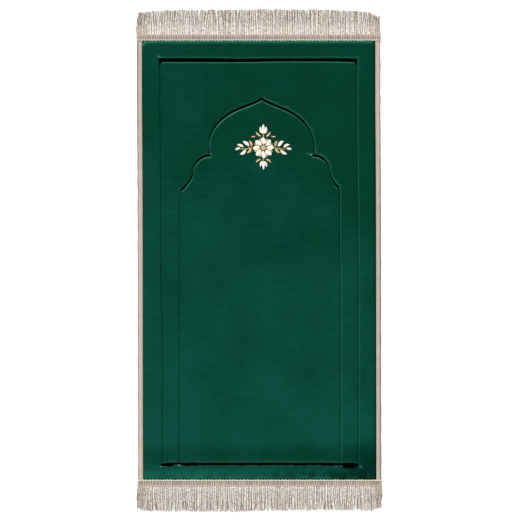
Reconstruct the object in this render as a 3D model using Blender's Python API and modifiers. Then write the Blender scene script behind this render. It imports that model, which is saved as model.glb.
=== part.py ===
"""A padded prayer rug that lies flat: one quilted velvet pad, two tape bindings and two fringe trims.

Metres, +Z up. The origin is on the floor under the middle of the rug, and +Y points to the arch.
The pad is one filled solid. Its face is a height over the floor that rises from every sewn line.
"""

import math
from collections import namedtuple

import bmesh
import bpy
import numpy as np
from mathutils.geometry import delaunay_2d_cdt

# Driving sizes
BODY_WIDTH = 0.620  # over both bindings
BODY_LENGTH = 1.150  # over both braids, without the strands
GAP = 0.0003  # air between one piece and the next

# The binding tape, folded round each long edge
BINDING_WIDTH = 0.012
BINDING_HEIGHT = 0.0047  # over both legs of the fold
TAPE = 0.0011  # thickness of the tape itself
FOLD_STEPS = 4  # flats round the fold

# The braid that heads each fringe, its inner edge a row of picots
BRAID_WIDTH = 0.0165
BRAID_THICKNESS = 0.0025
BRAID_OVERHANG = 0.0008  # how far the braid runs past each binding
PICOT_DEPTH = 0.0032
PICOT_COUNT = 70
PICOT_UNEVEN = 0.0003
PICOT_WAVER = 1.7  # radians of that unevenness from one picot to the next
PICOT_SHOULDER = (0.22, 0.80)  # where a picot's flank breaks, as shares of its pitch and depth

# The pad, from the floor up
FLANGE_UNDERSIDE = TAPE + GAP  # its thin edge lies on the lower leg of the tape
SIDE_FLANGE_TOP = BINDING_HEIGHT - TAPE - GAP  # pressed thin inside the folded tape
END_FLANGE_TOP = BINDING_HEIGHT  # pressed level with the tape, under the braid
CHANNEL_FLOOR = 0.0045
PANEL_HEIGHT = 0.0120  # just behind a lip
CROWN = 0.0025  # that much more in the middle of a wide panel
CROWN_REACH = 0.060
LIP_REACH = 0.011  # how far the cloth takes to round over beside a sewn line
SHOULDER_REACH = 0.026  # the same, beside a binding or a braid
UNDERCUT = 0.004  # how far the underside takes to come down to the floor
LIP_RAILS = (0.0001, 0.08, 0.32, 1.0)  # where the mesh follows a lip, as shares of its reach
SHOULDER_RAILS = (0.0, 0.04, 0.20, 0.50, 1.0)  # the same on a shoulder
PANEL_GRID = 0.060  # points in the middle of the panels
PAD_INSET = 0.0025  # from the outside of a binding to the pad's own edge
END_INSET = 0.003  # from the outside of a braid to the pad's own end

# The niche: a keel arch over two shoulders. Heights are measured down from the apex.
APEX = (0.0085, 0.4140)
ARCH_X = 0.0065  # the middle of the arch
LOBE_HALF = 0.1352
LOBE_SPRING = 0.1270
LOBE_RISE = 0.1110
KEEL_HALF = 0.0610
KEEL_TIP = (0.0100, 0.0085)  # where the curve beside the apex first aims, out and down
KEEL_HANDLE = 0.0380
CUSP = (0.1315, 0.1450)
WAIST = (0.1750, 0.1900)
LEFT_SHOULDER = 0.2370
RIGHT_SHOULDER = 0.2290
FLARE_START = (0.0010, 0.0140)  # which way the curve leaves the waist, out and down
FLARE_END = (0.0110, 0.0100)  # and how it comes in over the straight run
NICHE_SIDES = {-1: ("niche_left", LEFT_SHOULDER), 1: ("niche_right", RIGHT_SHOULDER)}

# The sewn lines that run along the rug, each at its distance from the middle
Run = namedtuple("Run", "y outer_left niche_left niche_right outer_right")
RUNS = (
    Run(0.510, -0.2520, -0.2025, 0.2035, 0.2490),
    Run(0.150, -0.2516, -0.2025, 0.2037, 0.2492),
    Run(-0.040, -0.2515, -0.2032, 0.2045, 0.2512),
    Run(-0.170, -0.2480, -0.2035, 0.2054, 0.2500),
    Run(-0.290, -0.2474, -0.2035, 0.2056, 0.2508),
    Run(-0.520, -0.2490, -0.2048, 0.2048, 0.2505),
)

# The sewn lines that run across it. half is half the width that stays pressed flat.
Stitch = namedtuple("Stitch", "x y half")
TOP_LINE = (
    Stitch(-0.2520, 0.5114, 0.0016),
    Stitch(-0.1300, 0.5112, 0.0016),
    Stitch(-0.0550, 0.5104, 0.0012),
    Stitch(0.0650, 0.5119, 0.0008),
    Stitch(0.1800, 0.5119, 0.0010),
    Stitch(0.2490, 0.5110, 0.0013),
)
FOOT_LINE = (
    Stitch(-0.2490, -0.5202, 0.0006),
    Stitch(-0.2280, -0.5198, 0.0030),
    Stitch(-0.2060, -0.5168, 0.0008),
    Stitch(-0.1850, -0.5160, 0.0020),
    Stitch(-0.1000, -0.5182, 0.0010),
    Stitch(0.0600, -0.5184, 0.0010),
    Stitch(0.1200, -0.5194, 0.0014),
    Stitch(0.1920, -0.5185, 0.0018),
    Stitch(0.2040, -0.5188, 0.0010),
    Stitch(0.2280, -0.5226, 0.0046),
    Stitch(0.2505, -0.5205, 0.0006),
)
RUN_HALF = 0.0004
ARCH_HALF = 0.0010

# The whole rug lies with a slight bow to one side
Bow = namedtuple("Bow", "y shift")
BOWS = (
    Bow(-0.640, 0.0007),
    Bow(-0.200, 0.0001),
    Bow(0.000, 0.0000),
    Bow(0.200, -0.0006),
    Bow(0.390, -0.0020),
    Bow(0.640, -0.0022),
)

# The strands: three-sided, fused into the braid, falling to the floor and lying level on it
STRANDS = 150  # for each trim
TIP_GAP = 0.0004  # least air between two tips
ROOT_MARGIN = 0.0004  # from the outermost strand to the end of the braid
LENGTH_UNEVEN = 0.0012
LENGTH_WAVER = 2.4  # radians of that unevenness from one strand to the next
BUNCHES = ((9.3, 0.60), (5.1, 0.38))  # how many strands a bunch has, and how hard it draws in
Ring =namedtuple("Ring", "past_braid rise lean width height")
RINGS = (
    Ring(-0.0015, 0.0001, 0.0, 0.0030, 0.0022),  # inside the braid
    Ring(0.0045, -0.0006, 0.0, 0.0030, 0.0022),  # about to fall
    Ring(0.0160, None, 0.2, 0.0030, 0.0022),  # the knee, on the floor
    Ring(None, None, 1.0, 0.0024, 0.0016),  # the tip
)

# How far each fringe reaches from the rug's middle, and how its strands bow at the knee and lean at
# the tip
Edge = namedtuple("Edge", "x reach knee_shift tip_shift")
TOP_FRINGE = (
    Edge(-0.3100, 0.6290, -0.0020, 0.0020),
    Edge(-0.2900, 0.6335, -0.0012, 0.0010),
    Edge(-0.2500, 0.6375, 0.0000, 0.0000),
    Edge(0.0000, 0.6400, 0.0000, 0.0000),
    Edge(0.1900, 0.6390, 0.0000, -0.0005),
    Edge(0.2400, 0.6360, 0.0000, -0.0015),
    Edge(0.2850, 0.6335, -0.0002, -0.0040),
    Edge(0.3100, 0.6230, 0.0000, -0.0070),
)
FOOT_FRINGE = (
    Edge(-0.3100, 0.6305, -0.0022, -0.0008),
    Edge(-0.2950, 0.6380, -0.0015, -0.0005),
    Edge(-0.0600, 0.6400, 0.0000, 0.0000),
    Edge(0.0200, 0.6370, 0.0000, 0.0000),
    Edge(0.2000, 0.6357, 0.0000, 0.0000),
    Edge(0.2850, 0.6365, 0.0010, 0.0000),
    Edge(0.3100, 0.6290, 0.0022, 0.0005),
)

PAD_HALF_WIDTH = BODY_WIDTH / 2 - PAD_INSET
PAD_HALF_LENGTH = BODY_LENGTH / 2 - END_INSET
SIDE_COVER = BINDING_WIDTH - PAD_INSET + GAP  # how much of the pad each binding hides
END_COVER = BRAID_WIDTH + PICOT_UNEVEN - END_INSET + GAP  # how much of it each braid hides
STATIONS = np.linspace(-PAD_HALF_LENGTH, PAD_HALF_LENGTH, 17)
END_STEPS = np.linspace(-PAD_HALF_WIDTH, PAD_HALF_WIDTH, 13)
TOLERANCE = 0.0001


def column(table, name):
    """One named column of a table, as an array."""
    return np.array([getattr(row, name) for row in table])


def look_up(table, key, name, at):
    """A column's value at a place along the table's key column."""
    keys = column(table, key)
    order = np.argsort(keys)
    return np.interp(at, keys[order], column(table, name)[order])


def bow(y):
    """How far the rug lies off its middle line at y."""
    return look_up(BOWS, "y", "shift", y)


def clear_scene():
    """Start from nothing."""
    for item in list(bpy.data.objects):
        bpy.data.objects.remove(item, do_unlink=True)


def new_collection(name):
    """A collection in the scene."""
    group = bpy.data.collections.new(name)
    bpy.context.scene.collection.children.link(group)
    return group


def cloth_material(name, colour, roughness):
    """A matt cloth material."""
    material = bpy.data.materials.new(name)
    material.use_nodes = True
    shader = material.node_tree.nodes["Principled BSDF"]
    shader.inputs["Base Color"].default_value = (*colour, 1.0)
    shader.inputs["Roughness"].default_value = roughness
    shader.inputs["Metallic"].default_value = 0.0
    return material


def add_object(name, mesh, material, collection):
    """Put a mesh in the scene as one named piece, smooth but for its sharp folds."""
    piece = bpy.data.objects.new(name, mesh)
    collection.objects.link(piece)
    mesh.materials.clear()
    mesh.materials.append(material)
    mesh.shade_smooth()
    mesh.set_sharp_from_angle(angle=math.radians(40))
    return piece


def finish_mesh(bm, name):
    """Turn every face outwards, lay the points with the rug's bow, and make the mesh."""
    bmesh.ops.recalc_face_normals(bm, faces=bm.faces)
    for vert in bm.verts:
        vert.co.x += float(bow(vert.co.y))
    mesh = bpy.data.meshes.new(name)
    bm.to_mesh(mesh)
    bm.free()
    return mesh


# Sewn lines: rows of x, y and half the pressed width


def along_run(name, low, high, count):
    """A stretch of one lengthwise line, from low to high."""
    y = np.linspace(low, high, count)
    return np.column_stack([look_up(RUNS, "y", name, y), y, np.full(count, RUN_HALF)])


def across(table, spacing=0.03, least=4):
    """A crosswise line through its table's rows, easing from each row to the next."""
    points = []
    for row, following in zip(table[:-1], table[1:]):
        steps = max(least, math.ceil((following.x - row.x) / spacing))
        for share in np.arange(steps) / steps:
            eased = share * share * (3 - 2 * share)
            x = row.x + share * (following.x - row.x)
            y = row.y + eased * (following.y - row.y)
            points.append((x, y, row.half + eased * (following.half - row.half)))
    points.append(tuple(table[-1]))
    return np.array(points)


def bezier(handles, count):
    """Points along a cubic curve, without its first one."""
    t = np.linspace(0, 1, count + 1)[1:, None]
    a, b, c, d = (np.array(handle) for handle in handles)
    return (1 - t) ** 3 * a + 3 * t * (1 - t) ** 2 * b + 3 * t * t * (1 - t) * c + t**3 * d


def half_arch(side):
    """One half of the niche's head, from the apex down to the straight run. side is -1 or 1."""
    top = APEX[1]

    def place(out, down, middle=ARCH_X):
        """A point at a distance out from the arch's middle and down from its apex."""
        return np.array([middle + side * out, top - down])

    def quarter(centre_out, spring, wide, tall, start, count):
        """An elliptical turn from an angle down to level, without its first point."""
        angles = np.linspace(start, 0, count)[1:]
        return [
            place(centre_out + wide * math.cos(a), spring - tall * math.sin(a)) for a in angles
        ]

    join = math.acos(KEEL_HALF / LOBE_HALF)
    join_down = LOBE_SPRING - LOBE_RISE * math.sin(join)
    slope = LOBE_RISE * math.cos(join) / (LOBE_HALF * math.sin(join))
    keel = [
        np.array(APEX),
        place(*KEEL_TIP, middle=APEX[0]),
        place(KEEL_HALF - KEEL_HANDLE, join_down - slope * KEEL_HANDLE),
        place(KEEL_HALF, join_down),
    ]
    name, shoulder = NICHE_SIDES[side]
    foot = float(look_up(RUNS, "y", name, top - shoulder))
    flare = [
        place(*WAIST),
        place(WAIST[0] + FLARE_START[0], WAIST[1] + FLARE_START[1]),
        np.array([foot - side * FLARE_END[0], top - shoulder + FLARE_END[1]]),
        np.array([foot, top - shoulder]),
    ]
    points = np.array(
        [
            np.array(APEX),
            *bezier(keel, 7),
            *quarter(0.0, LOBE_SPRING, LOBE_HALF, LOBE_RISE, join, 15),
            place(*CUSP),
            *quarter(CUSP[0], WAIST[1], WAIST[0] - CUSP[0], WAIST[1] - CUSP[1], math.pi / 2, 8),
            *bezier(flare, 6),
        ]
    )
    return np.column_stack([points, np.full(len(points), ARCH_HALF)])


def foot_y(name):
    """Where a lengthwise line meets the crosswise line at the foot."""
    x = look_up(RUNS, "y", name, FOOT_LINE[0].y)
    return float(look_up(FOOT_LINE, "x", "y", x))


def niche_line():
    """The niche from its foot on the left, up, over the arch and down to its foot on the right."""
    sides = []
    for side, (name, shoulder) in NICHE_SIDES.items():
        run = along_run(name, foot_y(name), APEX[1] - shoulder, 12)[:-1]
        sides.append(np.concatenate([run, half_arch(side)[::-1]]))
    left, right = sides
    return np.concatenate([left, right[::-1][1:]])


def border_line():
    """The rectangle round the field, closed, starting at the foot on the left."""
    foot = across(FOOT_LINE)
    top = across(TOP_LINE)
    left = along_run("outer_left", foot[0, 1], top[0, 1], 18)[1:-1]
    right = along_run("outer_right", foot[-1, 1], top[-1, 1], 18)[1:-1]
    return np.concatenate([foot, right, top[::-1], left[::-1], foot[:1]])


# The pad


def distance_to_line(points, line):
    """Distance from each point to a sewn line, less half the width pressed flat there."""
    best = np.full(len(points), np.inf)
    for start, end in zip(line[:-1], line[1:]):
        run = end[:2] - start[:2]
        share = np.clip((points - start[:2]) @ run / (run @ run), 0.0, 1.0)
        nearest = start[:2] + share[:, None] * run
        half = start[2] + share * (end[2] - start[2])
        best = np.minimum(best, np.hypot(*(points - nearest).T) - half)
    return best


def rounded(distance, reach):
    """Share of the full height at a distance from where the cloth is held down."""
    share = np.clip(distance / reach, 0.0, 1.0)
    return np.sqrt(1.0 - (1.0 - share) ** 2)


def face_height(points, lines):
    """Height of the pad's face over the floor at each point."""
    from_line = np.minimum.reduce([distance_to_line(points, line) for line in lines])
    from_side = PAD_HALF_WIDTH - SIDE_COVER - np.abs(points[:, 0])
    from_end = PAD_HALF_LENGTH - END_COVER - np.abs(points[:, 1])
    nearest = np.clip(np.minimum.reduce([from_line, from_side, from_end]), 0.0, None)
    full = PANEL_HEIGHT + CROWN * (1.0 - np.exp(-nearest / CROWN_REACH))
    drops = np.array(
        [
            (full - CHANNEL_FLOOR) * (1.0 - rounded(from_line, LIP_REACH)),
            (full - SIDE_FLANGE_TOP) * (1.0 - rounded(from_side, SHOULDER_REACH)),
            (full - END_FLANGE_TOP) * (1.0 - rounded(from_end, SHOULDER_REACH)),
        ]
    )
    height = full - (drops**4).sum(axis=0) ** 0.25
    floor = np.where(from_end <= TOLERANCE, END_FLANGE_TOP, CHANNEL_FLOOR)
    floor = np.where(from_side <= TOLERANCE, SIDE_FLANGE_TOP, floor)
    return np.maximum(height, floor)


def beside(line, reach, closed):
    """A copy of a sewn line at a reach past its pressed width, on the side that reach's sign gives.

    Points that would lie nearer than that to another stretch of the line are left out."""
    flat = line[:, :2]
    ahead = np.diff(flat, axis=0)
    ahead /= np.hypot(*ahead.T)[:, None]
    before = np.concatenate([ahead[-1:] if closed else ahead[:1], ahead])
    after = np.concatenate([ahead, ahead[:1] if closed else ahead[-1:]])
    along = before + after
    along /= np.hypot(*along.T)[:, None]
    mitre = np.clip((along * after).sum(axis=1), 0.4, 1.0)
    normal = np.column_stack([-along[:, 1], along[:, 0]])
    away = np.sign(reach) * (np.abs(reach) + line[:, 2]) / mitre
    moved = flat + normal * away[:, None]
    clear = distance_to_line(moved, line) > 0.85 * np.abs(reach) - 3 * TOLERANCE
    return moved[clear]


def pad_rails(lines):
    """Every polyline that the face's mesh has to follow."""
    rails = []
    for line, closed in lines:
        for share in LIP_RAILS:
            for sign in (-1, 1):
                rails.append(beside(line, sign * share * LIP_REACH, closed))
    for share in SHOULDER_RAILS:
        x = PAD_HALF_WIDTH - SIDE_COVER - share * SHOULDER_REACH
        y = PAD_HALF_LENGTH - END_COVER - share * SHOULDER_REACH
        for sign in (-1, 1):
            rails.append([(sign * x, station) for station in STATIONS])
            rails.append([(step, sign * y) for step in END_STEPS])
    return rails


def pad_outline():
    """The pad's edge, counter-clockwise."""
    foot = [(x, -PAD_HALF_LENGTH) for x in END_STEPS]
    right = [(PAD_HALF_WIDTH, y) for y in STATIONS[1:]]
    top = [(x, PAD_HALF_LENGTH) for x in END_STEPS[::-1][1:]]
    left = [(-PAD_HALF_WIDTH, y) for y in STATIONS[::-1][1:-1]]
    return foot + right + top + left


def pad_face(niche, border):
    """The quilted face: a triangulation that follows every rail, lifted to its height."""
    points = pad_outline()
    edges = [(i, (i + 1) % len(points)) for i in range(len(points))]
    for rail in pad_rails(((niche, False), (border, True))):
        first = len(points)
        points += [tuple(point) for point in rail]
        edges += [(first + i, first + i + 1) for i in range(len(rail) - 1)]
    across_x = PANEL_GRID * np.arange(-3, 4)
    along_y = PANEL_GRID * np.arange(-8, 9)
    points += [(x, y) for x in across_x for y in along_y]
    flat, _, faces, _, _, _ = delaunay_2d_cdt(points, edges, [], 1, TOLERANCE)
    flat = np.array([tuple(point) for point in flat])
    bm = bmesh.new()
    verts = [bm.verts.new((*xy, z)) for xy, z in zip(flat, face_height(flat, (niche, border)))]
    for face in faces:
        bm.faces.new([verts[i] for i in face])
    return bm


def pad_mesh():
    """The filled pad: its face, its thin rim drawn in all round, and its level underside."""
    bm = pad_face(niche_line(), border_line())
    rim = [edge for edge in bm.edges if edge.is_boundary]
    levels = (
        (0.0, FLANGE_UNDERSIDE),
        (SIDE_COVER, FLANGE_UNDERSIDE),
        (SIDE_COVER + UNDERCUT, 0.0),
    )
    for inset, z in levels:
        made = bmesh.ops.extrude_edge_only(bm, edges=rim)["geom"]
        for vert in (item for item in made if isinstance(item, bmesh.types.BMVert)):
            vert.co.x = math.copysign(min(abs(vert.co.x), PAD_HALF_WIDTH - inset), vert.co.x)
            vert.co.y = math.copysign(min(abs(vert.co.y), PAD_HALF_LENGTH - inset), vert.co.y)
            vert.co.z = z
        rim = [item for item in made if isinstance(item, bmesh.types.BMEdge)]
    bmesh.ops.contextual_create(bm, geom=rim)
    bmesh.ops.remove_doubles(bm, verts=bm.verts, dist=TOLERANCE / 10)
    return finish_mesh(bm, "pad")


# The bindings


def add_binding(name, side, material, collection):
    """A tape folded round one long edge of the pad. side is -1 for the left and 1 for the right."""
    radius = BINDING_HEIGHT / 2
    bend = [math.pi * (0.5 + step / FOLD_STEPS) for step in range(FOLD_STEPS + 1)]
    fold = [(radius * (1 + math.cos(a)), radius * (1 + math.sin(a))) for a in bend]
    profile = [(BINDING_WIDTH, BINDING_HEIGHT), *fold, (BINDING_WIDTH, 0.0)]
    edge_x = BODY_WIDTH / 2
    bm = bmesh.new()
    row = [bm.verts.new((side * (edge_x - inward), STATIONS[0], z)) for inward, z in profile]
    rim = [bm.edges.new(pair) for pair in zip(row[:-1], row[1:])]
    for low, high in zip(STATIONS[:-1], STATIONS[1:]):
        made = bmesh.ops.extrude_edge_only(bm, edges=rim)["geom"]
        moved = [item for item in made if isinstance(item, bmesh.types.BMVert)]
        bmesh.ops.translate(bm, verts=moved, vec=(0, high - low, 0))
        rim = [item for item in made if isinstance(item, bmesh.types.BMEdge)]
    mesh = finish_mesh(bm, name)
    outermost = max(mesh.polygons, key=lambda face: abs(face.center.x))
    piece = add_object(name, mesh, material, collection)
    shell = piece.modifiers.new("tape thickness", "SOLIDIFY")
    shell.thickness = TAPE
    shell.offset = -1 if outermost.normal.x * side > 0 else 1
    shell.use_even_offset = True


# The fringe trims


def braid_outline(end):
    """The braid from above, its inner edge a row of picots. end is 1 at the arch, -1 at the foot."""
    outer = BODY_LENGTH / 2
    half = BODY_WIDTH / 2 + BRAID_OVERHANG
    valley = outer - BRAID_WIDTH + PICOT_DEPTH
    along, down = PICOT_SHOULDER
    flank = valley - down * PICOT_DEPTH
    pitch = 2 * half / PICOT_COUNT
    points = [(-half, valley)]
    for picot in range(PICOT_COUNT):
        start = -half + picot * pitch
        pull = PICOT_UNEVEN * math.sin(PICOT_WAVER * picot)
        points += [
            (start + along * pitch, flank),
            (start + pitch / 2, valley - PICOT_DEPTH + pull),
            (start + pitch - along * pitch, flank),
            (start + pitch, valley + pull),
        ]
    points += [(half, outer), (-half, outer)]
    return [(x, end * y) for x, y in points]


def braid_mesh(name, end, collection):
    """The braid: a flat outline given its thickness, as one closed mesh."""
    outline = braid_outline(end)
    curve = bpy.data.curves.new(name, "CURVE")
    curve.dimensions = "2D"
    curve.fill_mode = "BOTH"
    curve.extrude = BRAID_THICKNESS / 2
    spline = curve.splines.new("POLY")
    spline.points.add(len(outline) - 1)
    for point, (x, y) in zip(spline.points, outline):
        point.co = (x, y, 0, 1)
    spline.use_cyclic_u = True
    drawn = bpy.data.objects.new(name + "_outline", curve)
    collection.objects.link(drawn)
    graph = bpy.context.evaluated_depsgraph_get()
    bm = bmesh.new()
    bm.from_mesh(bpy.data.meshes.new_from_object(drawn.evaluated_get(graph)))
    bpy.data.objects.remove(drawn, do_unlink=True)
    bmesh.ops.remove_doubles(bm, verts=bm.verts, dist=TOLERANCE / 100)
    middle = BINDING_HEIGHT + GAP + BRAID_THICKNESS / 2
    bmesh.ops.translate(bm, verts=bm.verts, vec=(0, 0, middle))
    return finish_mesh(bm, name)


def bunched_tips(first, last, phase):
    """Where the tips lie: bunched in groups, never nearer than a tip's width and its gap."""
    steps = np.arange(STRANDS - 1)
    weight = np.ones(STRANDS - 1)
    for order, (strands, pull) in enumerate(BUNCHES, start=1):
        weight += pull * np.sin(2 * math.pi * steps / strands + order * phase)
    weight = np.clip(weight, 0.0, None)
    least = RINGS[-1].width + TIP_GAP
    spare = last - first - least * (STRANDS - 1)
    return first + np.concatenate([[0.0], np.cumsum(least + spare * weight / weight.sum())])


def add_strand(bm, end, root, knee, tip, reach):
    """One strand, from inside the braid down to the floor and along it to its tip."""
    outer = BODY_LENGTH / 2
    rings = []
    for ring in RINGS:
        y = reach if ring.past_braid is None else outer + ring.past_braid
        z = 0.0 if ring.rise is None else BINDING_HEIGHT + GAP + ring.rise
        x = root if ring.lean == 0.0 else knee + ring.lean * (tip - knee)
        corners = ((x - ring.width / 2, z), (x + ring.width / 2, z), (x, z + ring.height))
        loop = [bm.verts.new((corner, end * y, up)) for corner, up in corners]
        rings.append(loop)
    bm.faces.new(rings[0])
    bm.faces.new(rings[-1])
    for near, far in zip(rings[:-1], rings[1:]):
        for side in range(3):
            other = (side + 1) % 3
            bm.faces.new((near[side], near[other], far[other], far[side]))


def strands_mesh(end, table, phase):
    """All the strands of one trim. end is 1 at the arch and -1 at the foot."""
    half = BODY_WIDTH / 2 + BRAID_OVERHANG - RINGS[0].width / 2 - ROOT_MARGIN
    roots = np.linspace(-half, half, STRANDS)
    knees = roots + look_up(table, "x", "knee_shift", roots)
    leans = look_up(table, "x", "tip_shift", roots)
    tips = bunched_tips(roots[0] + leans[0], roots[-1] + leans[-1], phase)
    shorter = LENGTH_UNEVEN * (0.5 + 0.5 * np.sin(LENGTH_WAVER * np.arange(STRANDS) + phase))
    reaches = look_up(table, "x", "reach", roots) - shorter
    bm = bmesh.new()
    for strand in zip(roots, knees, tips, reaches):
        add_strand(bm, end, *strand)
    return finish_mesh(bm, "strands")


def add_fringe(name, end, table, phase, material, collection, cutters):
    """One trim: the braid with its strands fused in at their roots."""
    strands = add_object(name + "_strands", strands_mesh(end, table, phase), material, cutters)
    strands.hide_render = True
    strands.display_type = "WIRE"
    braid = add_object(name, braid_mesh(name, end, collection), material, collection)
    join = braid.modifiers.new("strands", "BOOLEAN")
    join.operation = "UNION"
    join.solver = "EXACT"
    join.object = strands


def build():
    """Make every piece."""
    clear_scene()
    rug = new_collection("prayer_rug")
    cutters = new_collection("cutters")
    velvet = cloth_material("velvet", (0.004, 0.058, 0.040), 0.85)
    tape = cloth_material("binding tape", (0.56, 0.48, 0.40), 0.75)
    yarn = cloth_material("fringe yarn", (0.60, 0.52, 0.46), 0.60)
    add_object("pad", pad_mesh(), velvet, rug)
    add_binding("binding_left", -1, tape, rug)
    add_binding("binding_right", 1, tape, rug)
    add_fringe("fringe_top", 1, TOP_FRINGE, 0.4, yarn, rug, cutters)
    add_fringe("fringe_bottom", -1, FOOT_FRINGE, 2.1, yarn, rug, cutters)


build()
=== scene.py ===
"""A padded velvet prayer rug with fringed ends, laid flat on a pale floor and seen from above.

Metres, +Z up, with the floor at zero. +Y runs along the rug to the point of its arch, and +X is to
the right of that from above.
"""

import math
from collections import namedtuple

import bmesh
import bpy
import numpy as np
from mathutils.geometry import delaunay_2d_cdt
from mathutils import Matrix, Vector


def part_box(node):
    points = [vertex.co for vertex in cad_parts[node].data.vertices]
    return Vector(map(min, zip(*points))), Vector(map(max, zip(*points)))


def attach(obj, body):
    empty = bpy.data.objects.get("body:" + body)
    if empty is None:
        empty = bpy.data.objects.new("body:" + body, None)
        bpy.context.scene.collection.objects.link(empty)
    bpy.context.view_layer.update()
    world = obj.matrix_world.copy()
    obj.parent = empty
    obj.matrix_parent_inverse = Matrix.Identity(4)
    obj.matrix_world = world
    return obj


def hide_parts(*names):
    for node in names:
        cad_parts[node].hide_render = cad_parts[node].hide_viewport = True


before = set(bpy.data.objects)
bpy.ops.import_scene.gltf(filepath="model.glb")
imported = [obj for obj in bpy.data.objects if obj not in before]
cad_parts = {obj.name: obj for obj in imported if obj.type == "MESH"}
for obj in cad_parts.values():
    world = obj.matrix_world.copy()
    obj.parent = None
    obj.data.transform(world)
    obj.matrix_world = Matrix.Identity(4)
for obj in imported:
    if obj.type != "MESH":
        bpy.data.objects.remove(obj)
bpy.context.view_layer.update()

# ---------------------------------------------------------------------------------------------
# The quilted pad. Velvet over a soft filling and a backing, sewn through in channels that draw a
# border and a niche with a keel arch. The filling crowns the panels, the cloth rounds over into
# each channel, and the stitches gather it a little.

BODY_WIDTH = 0.620  # over both bindings
BODY_LENGTH = 1.150  # over both braids
GAP = 0.0003  # air between one piece and the next
BINDING_WIDTH = 0.012
BRAID_WIDTH = 0.0168
TAPE = 0.0011  # how thick a leg of the binding is
FOLD_ROOM = 0.0025  # that its fold takes beyond the pad
BINDING_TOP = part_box("binding_left")[1].z
FLANGE_UNDERSIDE = TAPE + GAP
SIDE_FLANGE_TOP = BINDING_TOP - TAPE - GAP
PAD_HALF_WIDTH = BODY_WIDTH / 2 - FOLD_ROOM
PAD_HALF_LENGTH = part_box("pad")[1].y
TAPE_FUZZ = 0.0009  # how far the tape's soft edge spreads over the velvet
SIDE_EDGE = BODY_WIDTH / 2 - BINDING_WIDTH - TAPE_FUZZ - GAP  # where the pad leaves a binding
END_EDGE = BODY_LENGTH / 2 - BRAID_WIDTH - GAP  # and where it leaves a braid
CHANNEL_FLOOR = 0.0045
PANEL_HEIGHT = 0.0120
CROWN = 0.0025  # how much higher a panel's middle can be
CROWN_REACH = 0.060
UNEVEN, LUMPS = 0.0005, 0.00010  # how uneven the filling is in a panel, and all over
UNEVEN_REACH = 0.030
UNDERCUT = 0.004  # how far in from its rim the pad first touches the floor
SIDE_SHOULDER = 0.009  # how far the cloth takes to round over beside a binding
TOP_SHOULDER = 0.0036  # beside the braid at the arch
FOOT_SHOULDER = 0.016  # and beside the one at the foot
SHOULDER_FULLNESS = 2.4

# The lip of a channel, where the cloth rounds over into it: how far that takes, how full the curve
# is, and how far out of the channel its pile stays pinched and painted shade keeps it dark. The
# light comes from beyond the arch, so the lips above, below and beside a channel were drawn apart.
Lip = namedtuple("Lip", "reach fullness pinched")
LIP_ABOVE = Lip(0.0068, 2.6, 0.0008)
LIP_BELOW = Lip(0.0040, 2.2, 0.0008)
LIP_BESIDE = Lip(0.0056, 2.4, 0.0005)
PANEL_CORNER = 0.0095  # how round the top corners of the field are
PAD_CORNER = 0.014  # and the pad's own
LIP_WAVER = 0.15  # how much a lip's reach varies along it
GATHER, GATHER_OUT, GATHER_WIDTH = 0.0003, 0.005, 0.004  # the puckers on it
SPLAY_OUT, SPLAY_WIDTH = 0.0013, 0.0009  # where its pile splays and a highlight is painted

# The whole rug lies with a slight bow to one side.
Bow = namedtuple("Bow", "y shift")
BOWS = (
    Bow(-0.640, 0.0007),
    Bow(-0.200, 0.0001),
    Bow(0.000, 0.0000),
    Bow(0.200, -0.0006),
    Bow(0.390, -0.0020),
    Bow(0.640, -0.0022),
)

# The lines sewn along the rug, each at its distance from the middle.
Run = namedtuple("Run", "y outer_left niche_left niche_right outer_right")
RUNS = (
    Run(0.510, -0.2514, -0.2021, 0.2045, 0.2498),
    Run(0.150, -0.2510, -0.2021, 0.2048, 0.2504),
    Run(-0.040, -0.2508, -0.2028, 0.2057, 0.2526),
    Run(-0.170, -0.2472, -0.2031, 0.2066, 0.2514),
    Run(-0.290, -0.2466, -0.2031, 0.2068, 0.2522),
    Run(-0.520, -0.2486, -0.2044, 0.2056, 0.2512),
)

# The lines sewn across it. half is half the width that the stitches press flat.
Stitch = namedtuple("Stitch", "x y half")
TOP_LINE = (
    Stitch(-0.2500, 0.5114, 0.0026),
    Stitch(-0.1300, 0.5112, 0.0026),
    Stitch(-0.0550, 0.5104, 0.0022),
    Stitch(0.0650, 0.5119, 0.0018),
    Stitch(0.1800, 0.5119, 0.0020),
    Stitch(0.2484, 0.5110, 0.0023),
)
FOOT_LINE = (
    Stitch(-0.2490, -0.5198, 0.0020),
    Stitch(-0.2280, -0.5192, 0.0038),
    Stitch(-0.2140, -0.5164, 0.0013),
    Stitch(-0.2010, -0.5168, 0.0016),
    Stitch(-0.1860, -0.5187, 0.0032),
    Stitch(-0.1700, -0.5176, 0.0030),
    Stitch(-0.1500, -0.5175, 0.0020),
    Stitch(0.0800, -0.5175, 0.0019),
    Stitch(0.0950, -0.5184, 0.0022),
    Stitch(0.1080, -0.5182, 0.0022),
    Stitch(0.1200, -0.5175, 0.0019),
    Stitch(0.1560, -0.5175, 0.0019),
    Stitch(0.1750, -0.5183, 0.0025),
    Stitch(0.1950, -0.5182, 0.0021),
    Stitch(0.2080, -0.5185, 0.0018),
    Stitch(0.2200, -0.5212, 0.0060),
    Stitch(0.2400, -0.5215, 0.0057),
    Stitch(0.2505, -0.5195, 0.0012),
)
RUN_HALF = 0.0004
ARCH_HALF = 0.0004
TOP_OPENS = 0.0042  # how much wider the channel gapes on its lower side, along the top
ARCH_OPENS = 0.0052  # along the arch
FOOT_OPENS = 0.0016  # and along the foot
LIP_HIGHLIGHTS = (0.20, 0.11)  # painted highlight on the lip below the arch and below the foot
SPLAY_END = FOOT_LINE[-1].x - 0.04  # to the right of here no highlight is painted on that lip
RUN_DARKNESS = 0.10  # how dark the painted shade of a lengthwise channel is, against 1 for one that runs across
RUN_DEPTH = 0.35  # and how deep it is, against 1
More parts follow.
